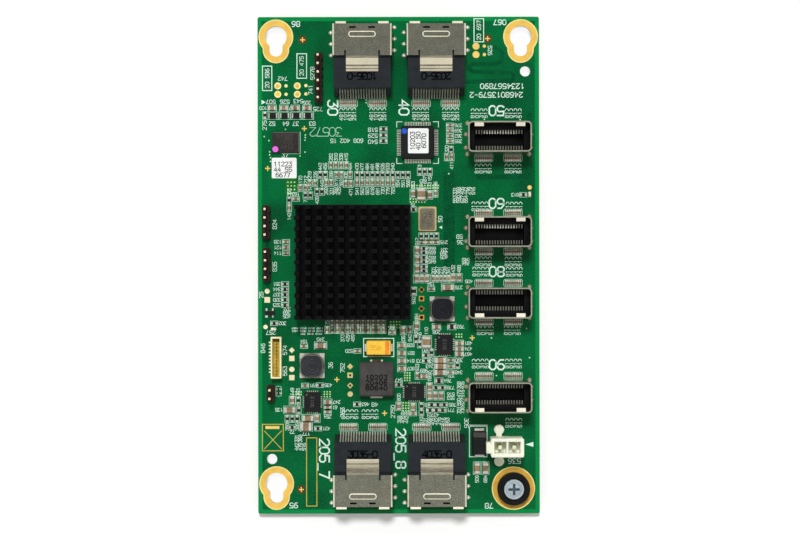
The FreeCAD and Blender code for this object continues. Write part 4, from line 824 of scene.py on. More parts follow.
@dataclass
class Laminate(Assembly):
    """The bare board with its gold lands and pads."""

    land_rim: float = 0.35
    land_margin: float = 2.0
    rim_inset: float = 0.02
    pad_edge: float = 0.98
    pad_core: float = 0.62
    small_core: float = 0.25
    small_pad: float = 0.8
    rimmed_from: float = 50.0
    head_radius: float = 3.25
    slot_radius: float = 2.0
    slot_drop: float = 3.95
    lock: Point = (34.55, -67.4)
    lock_radius: float = 6.55
    lock_side: float = 13.3
    hollow: Point = (0.58, 0.36)
    hollow_span: Point = (5.0, 8.5)
    pale_to: float = -28.0
    dull_to: float = -25.0
    keyholes: tuple[Point, ...] = ((-36.95, 69.0), (36.95, 69.0), (-36.95, -65.9))

    def build(self) -> None:
        """Dresses the board and draws the bare rims round its lands and pads."""
        dress("circuit_board", MASK)
        around = Block.about(self.lock, (self.lock_side, self.lock_side), BOARD_BOTTOM, BOARD_TOP + 1.0)
        dress("mounting_lands", LAND_GOLD, pick=Inside(around, DEEP_GOLD, LAND_GOLD))
        lower = Split(Measure.Y, self.dull_to, OLIVE_GOLD, COPPER_GOLD)
        lower = Split(Measure.X, self.pale_to, PALE_GOLD, lower)
        upper = Split(Measure.X, 0.0, LAND_GOLD, GOLD)
        dress("plated_pads", GOLD, pick=Split(Measure.Y, 0.0, lower, upper))
        rims, masked = Sketch(), Sketch()
        top = node_box("mounting_lands").z1 + RIM_LIFT
        insets = (self.rim_inset, self.land_rim)
        for place in self.keyholes:
            rims.ring((self.outline(place, self.land_margin - inset) for inset in insets), top, RIM_PLATE)
        rims.ring((circle(self.lock, self.lock_radius - inset, 64) for inset in insets), top, RIM_PLATE)
        for pad in solids("plated_pads"):
            x, y = pad.middle
            z = pad.z1 + RIM_LIFT
            if x < 0 and y > self.rimmed_from:
                size = pad.size[0] / 2
                shares = (self.pad_edge, self.small_core if size < self.small_pad else self.pad_core)
                rims.ring((circle((x, y), size * share, 24) for share in shares), z, PAD_RIM)
            if self.hollow_span[0] < x < self.hollow_span[1]:
                masked.ring((circle((x, y), radius, 24) for radius in self.hollow), z, RED_COPPER)
        rims.piece("plate_rims")
        masked.piece("pad_mask")

    def outline(self, place: Point, margin: float) -> list[Point]:
        """Traces a keyhole.

        Args:
            place: Middle of its round end.
            margin: How far outside the hole the line runs.

        Returns:
            The outline, counter-clockwise from its right.
        """
        head, drop = Vector(place), Vector((0.0, self.slot_drop))
        middle = head - drop / 2
        slot = self.slot_radius + margin
        points = []
        for way in map(Vector, circle((0.0, 0.0), 1.0, 96)):
            reaches = [min(slot / max(abs(way.x), 1e-6), self.slot_drop / 2 / max(abs(way.y), 1e-6))]
            for centre, radius in ((head, self.head_radius + margin), (head - drop, slot)):
                offset = middle - centre
                half = way.dot(offset)
                reaches.append(-half + math.sqrt(half * half - offset.length_squared + radius * radius))
            points.append(tuple(middle + way * max(reaches)))
        return points


@dataclass
class CopperArt(Assembly):
    """Copper that shows through the mask: planes, broad tracks, vias and targets, and near-black patches of
    painted shade.
    """

    via_radius: float = 0.24
    plane_cut: float = 0.4
    shade_patch_cut: float = 0.3
    planes: tuple[Sides, ...] = (
        (-34.2, 21.0, -30.6, 26.4), (1.0, -44.6, 3.2, -41.0), (1.4, -35.4, 3.7, -32.1),
        (-22.9, -40.1, -20.5, -37.9), (-32.3, -39.4, -29.2, -37.9), (16.9, -22.0, 19.4, -20.6),
        (-2.8, -19.4, 0.8, -16.7), (3.4, 22.8, 12.6, 24.5), (3.1, 18.7, 8.5, 20.3),
    )
    via_fields: tuple[tuple[float, float, int, int, float, float], ...] = (
        (-33.4, 21.8, 3, 4, 1.0, 1.1), (1.3, -44.0, 3, 4, 0.8, 0.8), (1.8, -34.8, 3, 4, 0.75, 0.75),
        (-22.5, -39.7, 3, 3, 0.85, 0.75), (-31.9, -39.0, 4, 2, 0.8, 0.8), (17.4, -21.7, 3, 2, 0.8, 0.8),
        (-2.4, -18.9, 4, 3, 0.9, 0.9), (4.0, 23.3, 11, 2, 0.8, 0.75), (3.6, 19.1, 6, 2, 0.85, 0.8),
    )
    bands: tuple[tuple[float, tuple[Point, ...]], ...] = (
        (1.5, ((39.6, 45.5), (39.6, 27.8), (38.4, 26.6), (24.0, 26.6))),
        (3.4, ((15.3, 26.8), (15.3, -0.6))),
        (1.2, (
            (28.7, 65.7), (30.4, 65.2), (31.4, 63.9), (31.1, 61.5), (29.6, 60.7), (22.5, 60.7), (21.4, 59.9),
            (21.4, 59.2), (22.5, 58.4), (33.6, 58.2), (34.9, 57.3), (34.9, 56.5), (34.0, 55.6), (20.4, 55.4),
        )),
    )
    comb_shade_size: Point = (14.6, 2.2)
    comb_shade_patches: tuple[Point, ...] = ((-10.75, 51.95), (11.3, 51.95), (-10.75, -51.95), (11.3, -51.95))
    well_shade_size: Point = (17.6, 8.0)
    well_shade_patches: tuple[Point, ...] = ((30.15, 38.15), (30.15, 9.9), (30.15, -11.3), (30.15, -39.4))
    target_arm: float = 0.62
    target_line: float = 0.36
    target_disc: float = 1.25
    disc_count: int = 3
    targets: tuple[Point, ...] = (
        (-28.9, 68.1), (27.0, 68.4), (-29.5, -67.7), (22.2, -22.0), (-18.7, -34.5), (-4.3, -44.7),
        (-28.4, 41.3), (-39.5, 29.3),
    )
    lone_vias: tuple[Point, ...] = (
        (-40.5, 38.9), (-39.1, 37.7), (-38.9, 34.3), (-38.9, 33.4), (-38.6, 32.5), (-38.6, 31.4),
        (-34.1, 41.1), (-28.1, 39.4), (-28.1, 38.6), (-28.2, 37.8), (-28.2, 34.2), (-29.7, 33.0),
        (28.0, -22.0), (38.6, -19.2), (39.5, -28.0), (29.5, -33.4), (-9.7, 49.9), (-9.7, 49.1),
        (15.2, 27.6), (36.8, 43.9), (26.0, 44.0),
    )

    def build(self) -> None:
        """Draws the copper and the patches of painted shade."""
        sketch = Sketch()
        for sides in self.planes:
            sketch.patch(rectangle(sides, self.plane_cut), COPPER_Z, OLIVE_COPPER)
        for width, path in self.bands:
            sketch.ribbon(path, width, COPPER_Z, DARK_COPPER)
        # Near-black patches of painted shade: between the edge ports' leads and at the upright ports.
        for size, places in ((self.comb_shade_size, self.comb_shade_patches), (self.well_shade_size, self.well_shade_patches)):
            for place in places:
                sketch.patch(Block.about(place, size).outline(cut=self.shade_patch_cut), VIA_Z, PAINTED_SHADE_MASK)
        vias = list(self.lone_vias)
        for x, y, columns, rows, step_x, step_y in self.via_fields:
            vias += [(x + i % columns * step_x, y + i // columns * step_y) for i in range(columns * rows)]
        for place in vias:
            sketch.patch(circle(place, self.via_radius, 8), VIA_Z, TENTED_VIA)
        for place in self.targets[:self.disc_count]:
            sketch.patch(circle(place, self.target_disc, 28), COPPER_Z, RED_COPPER)
        for x, y in self.targets:
            for across, along, lift in ((self.target_arm, 0.0, 0.0), (0.0, self.target_arm, CROSS_LIFT)):
                arm = [(x - across, y - along), (x + across, y + along)]
                sketch.ribbon(arm, self.target_line, PRINT_Z + lift, TARGET_GOLD)
        sketch.piece("copper_art")


@dataclass
class ChipField(Assembly):
    """Chip capacitors and resistors with tinned ends and solder."""

    end_share: float = 0.24
    edge_share: float = 0.12
    edge_limit: float = 0.09
    plating: float = 0.02
    lift: float = 0.03
    fillet: float = 0.24
    small_fillet: float = 0.45
    fillet_rise: float = 0.55
    fillet_bend: float = 0.4
    capacitors: list[Block] = field(default_factory=lambda: solids("chip_capacitors"))
    resistors: list[Block] = field(default_factory=lambda: solids("chip_resistors"))

    def build(self) -> None:
        """Builds both fields."""
        for name, boxes, finish in (
            ("chip_capacitors", self.capacitors, CERAMIC), ("chip_resistors", self.resistors, RESISTOR),
        ):
            sketch = Sketch()
            for box in boxes:
                self.chip(sketch, box, finish)
                self.fillets(sketch, box)
            sketch.piece(f"{name}_soldered", [name])

    def chip(self, sketch: Sketch, box: Block, finish: Finish) -> None:
        """Draws one chip.

        Args:
            sketch: Where it is drawn.
            box: Its size and place.
            finish: Finish of its body.
        """
        length = max(box.size)
        cap = length * self.end_share
        edge = min(self.edge_limit, self.edge_share * (box.z1 - box.z0))
        for start, stop, inset, low, coating in (
            (cap, length - cap, self.plating, self.lift, finish),
            (0.0, cap, 0.0, 0.0, TIN), (length - cap, length, 0.0, 0.0, TIN),
        ):
            x0, y0, x1, y1 = box.x0 + start, box.y0 + inset, box.x0 + stop, box.y1 - inset
            if box.turned:
                x0, y0, x1, y1 = box.x0 + inset, box.y0 + start, box.x1 - inset, box.y0 + stop
            sketch.slab(Block(x0, y0, box.z0 + low, x1, y1, box.z1 - inset), edge, coating)

    def fillets(self, sketch: Sketch, box: Block) -> None:
        """Draws the sloping solder at both ends of a chip.

        Args:
            sketch: Where it is drawn.
            box: The chip's size and place.
        """
        rise = box.z0 + self.fillet_rise * (box.z1 - box.z0)
        middle, low = (box.z0 * 2 + rise) / 3, box.z0 + self.lift
        reach = self.small_fillet if box.slim else self.fillet
        ends = (box.y0, box.y1) if box.turned else (box.x0, box.x1)
        sides = (box.x0, box.x1) if box.turned else (box.y1, box.y0)
        for way, base in zip((-1, 1), ends):
            bend = base + way * reach * self.fillet_bend
            profile = [(base, rise), (bend, middle), (base + way * reach, low)]
            rows = [[(side, a, z) if box.turned else (a, side, z) for side in sides] for a, z in profile]
            for upper, lower in zip(rows, rows[1:]):
                sketch.face([*upper, *lower[::-1]][::-way], SOLDER)
            for index, order in ((0, -way), (1, way)):
                cheek = [row[index] for row in rows] + [(*rows[0][index][:2], low)]
                sketch.face(cheek[::order], SOLDER)


@dataclass
class Legend(Assembly):
    """White print on the board: frames and numbers."""

    chips: ChipField
    line: float = 0.17
    frame_line: float = 0.26
    gold_line: float = 0.25
    corner_line: float = 0.2
    frame_gap: float = 0.3
    diode_gap: Point = (0.3, 0.35)
    group_gap: Point = (0.35, 0.65)
    group_cut: float = 0.35
    group_reach: float = 0.9
    text_gap: float = 0.05
    number_gap: float = 0.3
    number_rise: float = 0.25
    first_number: int = 100
    number_count: int = 900
    chip_step: int = 7
    lines: tuple[tuple[Lettering, Turn, tuple[Line, ...]], ...] = (
        (LARGE_PRINT, Turn.FALLING, (
            ("30", -19.8, 47.6), ("40", 1.7, 47.6), ("205_7", -22.5, -58.4), ("205_8", 0.55, -55.4),
        )),
        (LARGE_PRINT, Turn.INVERTED, (
            ("50", 29.65, 46.6), ("60", 29.6, 18.6), ("80", 29.65, -2.0), ("90", 29.6, -30.1),
        )),
        (MIDDLE_PRINT, Turn.INVERTED, (
            ("1234567890", 31.4, 54.0), ("2468013579-2", 29.6, 51.4), ("067", 30.7, 73.3),
            ("86", -30.9, 72.9), ("95", -31.8, -72.5), ("78", 27.2, -72.7), ("536", 34.9, -59.2),
        )),
        (NAME_PRINT, Turn.CLIMBING, (
            ("20 475", -29.2, 60.2), ("20 586", -39.6, 56.5), ("20 697", 24.35, 70.9), ("5278", -25.9, 58.0),
            ("741", -26.5, 53.0), ("275", -40.4, 42.3), ("50", 12.6, 13.9), ("824", -37.4, 12.4),
            ("835", -37.4, -0.4), ("846", -41.0, -25.0), ("574", -34.4, -25.6), ("563", -34.4, -31.9),
            ("752", -17.0, -31.0), ("763", -17.0, -44.4), ("2750", -1.8, -44.2), ("25", -41.5, -8.9),
            ("36", -20.6, -30.2),
        )),
        (NAME_PRINT, Turn.INVERTED, (
            ("742", -34.9, 56.4), ("507", -38.5, 49.4), ("526", -34.3, 49.4), ("543", -30.2, 49.6),
            ("725", -24.3, 47.2), ("52", -38.1, 42.8), ("64", -34.0, 42.8), ("37", -31.0, 42.8),
            ("83", -26.0, 42.8), ("518", -7.7, 40.9), ("529", -7.7, 39.1), ("540", -7.7, 37.3),
            ("58", 18.4, 8.6), ("36", 18.6, 6.9), ("48", -7.3, -42.1), ("257", -38.6, -20.3),
            ("608 402 15", -15.6, 37.6),
        )),
        (NAME_PRINT, Turn.LEVEL, (("37", -34.3, 33.2),)),
        (NAME_PRINT, Turn.FALLING, (("526", 27.7, 64.8), ("305", 20.4, -47.7))),
        (TINY_PRINT, Turn.INVERTED, (
            ("1357 2468 0123 4567", -27.6, -19.0), ("2046 8135 7902 4681", -27.6, -19.85),
            ("9012 3456 780", -26.4, -20.7),
        )),
    )
    written: Line = ("30572", -21.9, 40.3)
    block_step: Point = (2.5, 1.12)
    block_start: int = 231
    block_jump: int = 37
    blocks: tuple[tuple[Turn, tuple[tuple[float, float, int, int], ...]], ...] = (
        (Turn.INVERTED, (
            (-33.8, -13.2, 1, 3), (15.7, -33.4, 1, 7), (13.7, 4.6, 1, 3), (21.2, -2.7, 1, 3),
        )),
        (Turn.CLIMBING, (
            (-1.0, -46.6, 4, 2), (-30.9, -52.3, 3, 2), (-20.2, 22.4, 3, 1), (17.0, 22.4, 6, 2),
            (17.0, -36.3, 3, 4), (18.6, 1.0, 3, 1), (8.0, -47.2, 7, 1), (-2.4, -38.8, 2, 3),
        )),
    )
    fields: tuple[Point, ...] = (
        (-15.3, 47.2), (-6.2, 47.2), (6.7, 47.2), (15.8, 47.2), (24.4, 46.9), (34.7, 46.9), (25.6, 30.2),
        (34.6, 30.2), (24.6, 18.8), (34.9, 18.7), (25.6, 2.2), (34.6, 2.1), (24.8, -0.9), (34.9, -1.0),
        (26.1, -18.6), (34.3, -18.6), (24.6, -28.7), (34.6, -28.7), (34.7, -46.6), (-14.8, -43.9),
        (-8.7, -43.9),
    )
    field_rows: tuple[str, ...] = ("1111", "8035", "4162")
    tall_fields: float = 47.0
    field_step: float = 1.3
    field_count: int = 4
    field_drop: float = 1.1
    field_room: Sides = (0.5, 2.8, 0.5, 0.7)
    arch: Point = (0.5, 0.62)
    arch_drop: float = 0.3
    arch_line: float = 0.18
    arch_angles: tuple[float, ...] = (0.0, 0.8, 1.57, 2.34, 3.14)
    controller: Point = (5.8, 37.0)
    corner: float = 6.3
    corner_arm: float = 1.6
    frames: tuple[Sides, ...] = (
        (-30.6, 56.5, -27.7, 63.9), (-41.0, 52.8, -38.2, 60.2), (22.9, 67.4, 25.8, 74.4),
        (21.3, -57.9, 26.6, -48.3), (-10.6, -27.6, -1.5, -22.1),
    )
    gold_frames: tuple[Sides, ...] = ((-41.2, -56.0, -34.9, -48.0), (-27.9, -72.7, -24.8, -52.1))
    gold_bar: Sides = (-40.3, -49.4, -36.1, -48.5)
    rules: tuple[tuple[tuple[Point, ...], float, float, Finish], ...] = (
        (((21.4, -48.55), (26.6, -48.55)), 0.5, PRINT_Z, PRINT),
        (((-33.6, 33.72), (-29.65, 33.72), (-29.65, 40.3)), 0.2, PRINT_Z, FAINT_PRINT),
        (((-40.6, -55.4), (-35.5, -50.0)), 0.22, PRINT_Z, FRAME_GOLD),
        (((-40.6, -50.0), (-35.5, -55.4)), 0.22, PRINT_Z + CROSS_LIFT, FRAME_GOLD),
    )
    clear: tuple[Sides, ...] = (
        (-22.4, -23.9, -18.2, -20.9), (-12.4, -23.9, -1.0, -20.9), (-6.6, 36.4, -1.6, 43.2),
    )
    arrows: tuple[Sides, ...] = (
        (38.2, -54.2, 2.4, 0.75), (12.2, 11.4, 0.95, 0.5), (-40.1, 49.3, -1.2, 0.7),
    )
    taken: list[Block] = field(default_factory=list)
    sketch: Sketch = field(default_factory=Sketch)

    def build(self) -> None:
        """Prints what has its own place first, then the numbers where there is room."""
        self.taken = [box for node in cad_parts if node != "circuit_board" for box in self.covers(node)]
        self.taken += [Block(x0, y0, 0.0, x1, y1, 1.0) for x0, y0, x1, y1 in self.clear]
        for size, turn, lines in self.lines:
            for words, x, y in lines:
                self.print(words, (x, y), size, turn)
        for x, y in self.fields:
            self.port_rows(x, y)
        self.draw_frames()
        boxes = self.chips.capacitors + self.chips.resistors
        self.group_frames(boxes)
        for number, box in enumerate(boxes):
            if not box.slim:
                self.mark_chip(box, self.numbered(number * self.chip_step))
        words, x, y = self.written
        self.sketch.text(words, (x, y), HAND_PRINT, Turn.INVERTED, PRINT_Z, FAINT_PRINT)
        self.taken.append(HAND_PRINT.room(words, (x, y), Turn.INVERTED))
        for turn, blocks in self.blocks:
            across, along = self.block_step if turn == Turn.INVERTED else self.block_step[::-1]
            for x, y, columns, rows in blocks:
                for i in range(columns * rows):
                    place = (x + i % columns * across, y - i // columns * along)
                    number = self.numbered(self.block_start + self.block_jump * i)
                    self.fits(f"{number}", place, turn)
        self.sketch.piece("white_legend")

    def numbered(self, count: int) -> int:
        """Gives a made-up number of three digits."""
        return self.first_number + count % self.number_count

    def covers(self, node: str) -> list[Block]:
        """Gives what a node hides of the board: its solids, or its box where it is one shell."""
        whole = node.endswith(("cage", "shell", "housing", "contacts", "leads"))
        return [node_box(node)] if whole else solids(node)

    def print(self, words: str, place: Point, size: Lettering, turn: Turn) -> None:
        """Prints a line and keeps its place."""
        self.sketch.text(words, place, size, turn, PRINT_Z, PRINT)
        self.taken.append(size.room(words, place, turn))

    def fits(self, words: str, place: Point, turn: Turn) -> bool:
        """Prints a small line if there is room for it.

        Args:
            words: The line.
            place: Its middle.
            turn: Which way it reads.

        Returns:
            Whether it was printed.
        """
        room = SMALL_PRINT.room(words, place, turn)
        if any(room.meets(other, self.text_gap) for other in self.taken):
            return False
        self.print(words, place, SMALL_PRINT, turn)
        return True

    def draw_frames(self) -> None:
        """Draws the frames, rules, arrows and corners that have their own place."""
        for sides in self.frames:
            self.sketch.ribbon(rectangle(sides), self.frame_line, PRINT_Z, PRINT, True)
        for sides in self.gold_frames:
            self.sketch.ribbon(rectangle(sides), self.gold_line, PRINT_Z, FRAME_GOLD, True)
        for rule in self.rules:
            self.sketch.ribbon(*rule)
        self.sketch.patch(rectangle(self.gold_bar), PRINT_Z, GOLD)
        for x, y, length, half in self.arrows:
            self.sketch.patch([(x, y), (x + length, y - half), (x + length, y + half)], PRINT_Z, PRINT)
        for box in solids("small_diodes"):
            self.sketch.ribbon(box.outline(*self.diode_gap), self.line, PRINT_Z, FAINT_PRINT, True)
        for i, j in CORNERS:
            x, y = self.controller[0] + i * self.corner, self.controller[1] + j * self.corner
            arm = [(x - i * self.corner_arm, y), (x, y), (x, y - j * self.corner_arm)]
            self.sketch.ribbon(arm, self.corner_line, PRINT_Z, PRINT)

    def port_rows(self, x: float, y: float) -> None:
        """Prints the rows of marks that name a port's capacitors.

        Args:
            x: Middle of the rows.
            y: Height of the first row.
        """
        across, rise = self.arch
        shown = self.field_rows[: 3 if y > self.tall_fields else 2]
        half = self.field_step * self.field_count / 2
        for i in range(self.field_count):
            middle = x - half + (i + 0.5) * self.field_step
            low = y - self.arch_drop
            arch = [(middle + across * math.cos(a), low + rise * math.sin(a)) for a in self.arch_angles]
            self.sketch.ribbon(arch, self.arch_line, PRINT_Z, PRINT)
            for row, words in enumerate(shown):
                place = (middle, y - self.field_drop - row)
                self.sketch.text(words[i], place, FIELD_PRINT, Turn.CLIMBING, PRINT_Z, PRINT)
        left, below, right, above = self.field_room
        self.taken.append(Block(x - half - left, y - below, 0.0, x + half + right, y + above, 1.0))

    def group_frames(self, boxes: Sequence[Block]) -> None:
        """Prints a frame round each row of a port's small capacitors.

        Args:
            boxes: All the chips.
        """
        groups: list[Block] = []
        for box in (box for box in boxes if box.slim):
            other = next((group for group in groups if group.meets(box, self.group_reach)), None)
            if other:
                groups.remove(other)
                box = Block(
                    min(box.x0, other.x0), min(box.y0, other.y0), box.z0,
                    max(box.x1, other.x1), max(box.y1, other.y1), box.z1,
                )
            groups.append(box)
        for box in groups:
            outline = box.outline(*self.group_gap, self.group_cut)
            self.sketch.ribbon(outline, self.line, PRINT_Z, FAINT_PRINT, True)

    def mark_chip(self, box: Block, number: int) -> None:
        """Prints a chip's frame, and its number where there is room.

        Args:
            box: The chip.
            number: Its number.
        """
        gap = self.frame_gap
        self.sketch.ribbon(box.outline(gap, gap), self.line, PRINT_Z, FAINT_PRINT, True)
        x, y = box.middle
        for words in (f"{number}", f"{number % 100}"):
            reach = SMALL_PRINT.length(words) / 2 + gap + self.number_gap
            places, turn = [(x, box.y1 + reach), (x, box.y0 - reach)], Turn.CLIMBING
            if not box.turned:
                rise = box.y1 - y + gap + SMALL_PRINT.height / 2 + self.number_rise
                places = [(box.x1 + reach, y), (box.x0 - reach, y), (x, y + rise), (x, y - rise)]
                turn = Turn.INVERTED
            if any(self.fits(words, place, turn) for place in places):
                return


@dataclass
class EdgePort(Assembly):
    """A right-angle port at a short edge: metal cage, dark housing and contacts."""

    number: int
    edge: float = 0.14
    upper_tongue: tuple[Point, ...] = (
        (12.7, 12.54), (13.36, 12.57), (13.42, 12.84), (15.3, 12.37), (15.36, 12.36), (15.86, 12.36),
        (15.9, 12.46), (16.3, 12.36), (16.7, 12.32), (17.28, 12.2),
    )
    lower_tongue: tuple[Point, ...] = (
        (12.7, 12.54), (13.35, 12.56), (14.3, 12.5), (14.9, 12.4), (14.96, 12.47), (15.45, 12.36),
        (15.5, 12.44), (15.75, 12.385), (16.2, 12.385), (16.24, 12.47), (17.0, 12.27), (17.28, 12.165),
    )
    tongue_half: float = 4.78
    tongue_foot: float = 12.1
    window: Point = (2.85, 4.2)
    window_size: Point = (2.2, 0.75)
    shade_plate_edge: float = 0.05
    shade_plate_z: Point = (11.76, 12.06)
    bead_from: float = 12.52
    bead_slope: float = 0.98
    fold_angle: float = 3.0
    mark_inset: float = 18.7
    mark_z: float = 11.66

    def build(self) -> None:
        """Dresses the port and draws its pressed tongue, black plates of painted shade under its windows, and
        its mark.
        """
        name = f"edge_port_{self.number}"
        # Sloping faces of the roof's bead take the brighter copy of the nickel: a painted highlight.
        roof = Split(Measure.UP, self.bead_slope, BEAD_SLOPE_HIGHLIGHT, NICKEL)
        dress(f"{name}_cage", NICKEL, pick=Split(Measure.Z, self.bead_from, NICKEL, roof))
        dress(f"{name}_housing", HOUSING, self.edge)
        # Contact faces that don't face up take the dark copy: painted shade.
        dress(f"{name}_contacts", CONTACT, pick=Split(Measure.UP, UPWARD, SHADED_CONTACT_SIDE, CONTACT))
        x = node_box(f"{name}_cage").middle[0]
        self.spring(f"{name}_tongue", x)
        shade_plates, mark = Sketch(), Sketch()
        # Black plates under the cage's windows: painted shade for the dark inside of the cage.
        for side in (-1, 1):
            place = self.place(x + side * self.window[0], self.window[1])
            box = Block.about(place, self.window_size, *self.shade_plate_z)
            shade_plates.slab(box, self.shade_plate_edge, HOUSING_MARK_AND_SHADE)
        shade_plates.piece(f"{name}_window_painted_shade")
        place = self.place(node_box(f"{name}_housing").middle[0], self.mark_inset)
        turn = Turn.INVERTED if self.top_row else Turn.LEVEL
        mark.text(f"{self.number}036-0", place, HOUSING_PRINT, turn, self.mark_z, HOUSING_MARK_AND_SHADE)
        mark.piece(f"{name}_mark")

    @property
    def top_row(self) -> bool:
        """Whether the port is at the upper short edge."""
        return self.number < 3

    def place(self, x: float, v: float) -> Point:
        """Turns a distance from the short edge into a place on the board."""
        return (x, HALF_LENGTH - v) if self.top_row else (x, v - HALF_LENGTH)

    def spring(self, name: str, x: float) -> None:
        """Draws the pressed folds across the tongue.

        Args:
            name: Name of the piece.
            x: Middle of the port.
        """
        side, foot = -self.tongue_half if self.top_row else self.tongue_half, self.tongue_foot
        profile = self.upper_tongue if self.top_row else self.lower_tongue
        v, z = profile[-1]
        faces = [[(-side, v, z), (side, v, z), (side, v, foot), (-side, v, foot)]]
        for (v0, z0), (v1, z1) in zip(profile, profile[1:]):
            faces.append([(-side, v0, z0), (side, v0, z0), (side, v1, z1), (-side, v1, z1)])
            for end, order in ((-side, 1), (side, -1)):
                faces.append([(end, v0, z0), (end, v1, z1), (end, v1, foot), (end, v0, foot)][::order])
        sketch = Sketch()
        for corners in faces:
            sketch.face([(*self.place(x + u, v), z) for u, v, z in corners], BRIGHT_NICKEL)
        sketch.piece(name, smooth=self.fold_angle)


@dataclass
class UprightPort(Assembly):
    """A port that stands up from the board: drawn shell, black insulator, two rows of contacts."""

    number: int
    edge: float = 0.1
    middle: float = 30.15
    tab_offset: float = 6.15
    tab_half: float = 1.4
    tab_low: float = 13.3

    def build(self) -> None:
        """Dresses the port."""
        name = f"upright_port_{self.number}"
        # The lower row of contacts takes a darker copy, and faces that don't face up a dark one: both painted
        # shade.
        top = Split(Measure.Y, node_box(f"{name}_shell").middle[1], SHADED_LOWER_CONTACT, DEEP_CONTACT)
        dress(f"{name}_shell", DRAWN_NICKEL, self.edge, self.bent)
        dress(f"{name}_insulator", BLACK, self.edge)
        dress(f"{name}_contacts", DEEP_CONTACT, pick=Split(Measure.UP, UPWARD, SHADED_CONTACT_SIDE, top))

    def bent(self, place: Vector, normal: Vector) -> Finish:
        """Gives the shell's finish: its two bent tabs are brighter than its wall."""
        tab = place.z > self.tab_low and abs(abs(place.x - self.middle) - self.tab_offset) < self.tab_half
        return TAB_NICKEL if tab else RIM_NICKEL if normal.z > LEVEL_TOP else DRAWN_NICKEL


@dataclass
class Cooler(Assembly):
    """Pin-fin heat sink on the expander chip."""

    edge: float = 0.16

    def build(self) -> None:
        """Dresses the stack."""
        dress("expander_chip", CHIP)
        dress("thermal_pad", THERMAL)
        dress("heat_sink", ANODISED, self.edge)


@dataclass
class LogicChips(Assembly):
    """The controller and the flash chip with their labels."""

    edge: float = 0.12
    controller_dot: Point3 = (1.75, 40.4, 0.87)
    flash_dot: Point3 = (-37.1, 35.05, 0.9)
    controller_lines: tuple[tuple[str, float], ...] = (("10203", 4.25), ("40 50", 5.95), ("6070", 7.65))
    flash_lines: tuple[tuple[str, float], ...] = (("11223", 30.6), ("44 55", 28.95), ("6677", 27.3))
    flash_shift: float = -0.4
    etched: tuple[Line, ...] = (("04080", -34.4, 38.9), ("1632", -34.0, 37.4), ("6412", -33.6, 35.9))
    etched_lift: float = 0.008
    edge_inset: float = 0.18
    edge_start: float = 0.3
    edge_line: float = 0.2

    def build(self) -> None:
        """Dresses the chips and prints their labels."""
        dress("controller_chip", CHIP, self.edge)
        dress("flash_chip", GREY_CHIP, self.edge)
        dress("controller_leads", TIN)
        dress("controller_label", PAPER)
        dress("flash_label", PAPER)
        sketch = Sketch()
        paper = node_box("controller_label")
        for words, x in self.controller_lines:
            place = (x, paper.middle[1])
            sketch.text(words, place, LABEL_PRINT, Turn.CLIMBING, paper.z1 + MARK_LIFT, INK)
        paper = node_box("flash_label")
        for words, y in self.flash_lines:
            place = (paper.middle[0] + self.flash_shift, y)
            sketch.text(words, place, LABEL_PRINT, Turn.LEVEL, paper.z1 + MARK_LIFT, INK)
        for node, dot, finish in (
            ("controller_chip", self.controller_dot, BLUE_DOT), ("flash_chip", self.flash_dot, PINK_DOT),
        ):
            sketch.patch(circle(dot[:2], dot[2], 24), node_box(node).z1 + MARK_LIFT, finish)
        # A lighter line along the flash chip's upper and right edges: a painted highlight.
        box = node_box("flash_chip")
        z = box.z1 + self.etched_lift
        x, y = box.x1 - self.edge_inset, box.y1 - self.edge_inset
        painted_highlight = [(box.x0 + self.edge_start, y), (x, y), (x, box.y0 + self.edge_start)]
        sketch.ribbon(painted_highlight, self.edge_line, z, CHIP_MARK_AND_HIGHLIGHT)
        for words, x, y in self.etched:
            sketch.text(words, (x, y), NAME_PRINT, Turn.LEVEL, z, FAINT_MARK)
        sketch.piece("label_print")


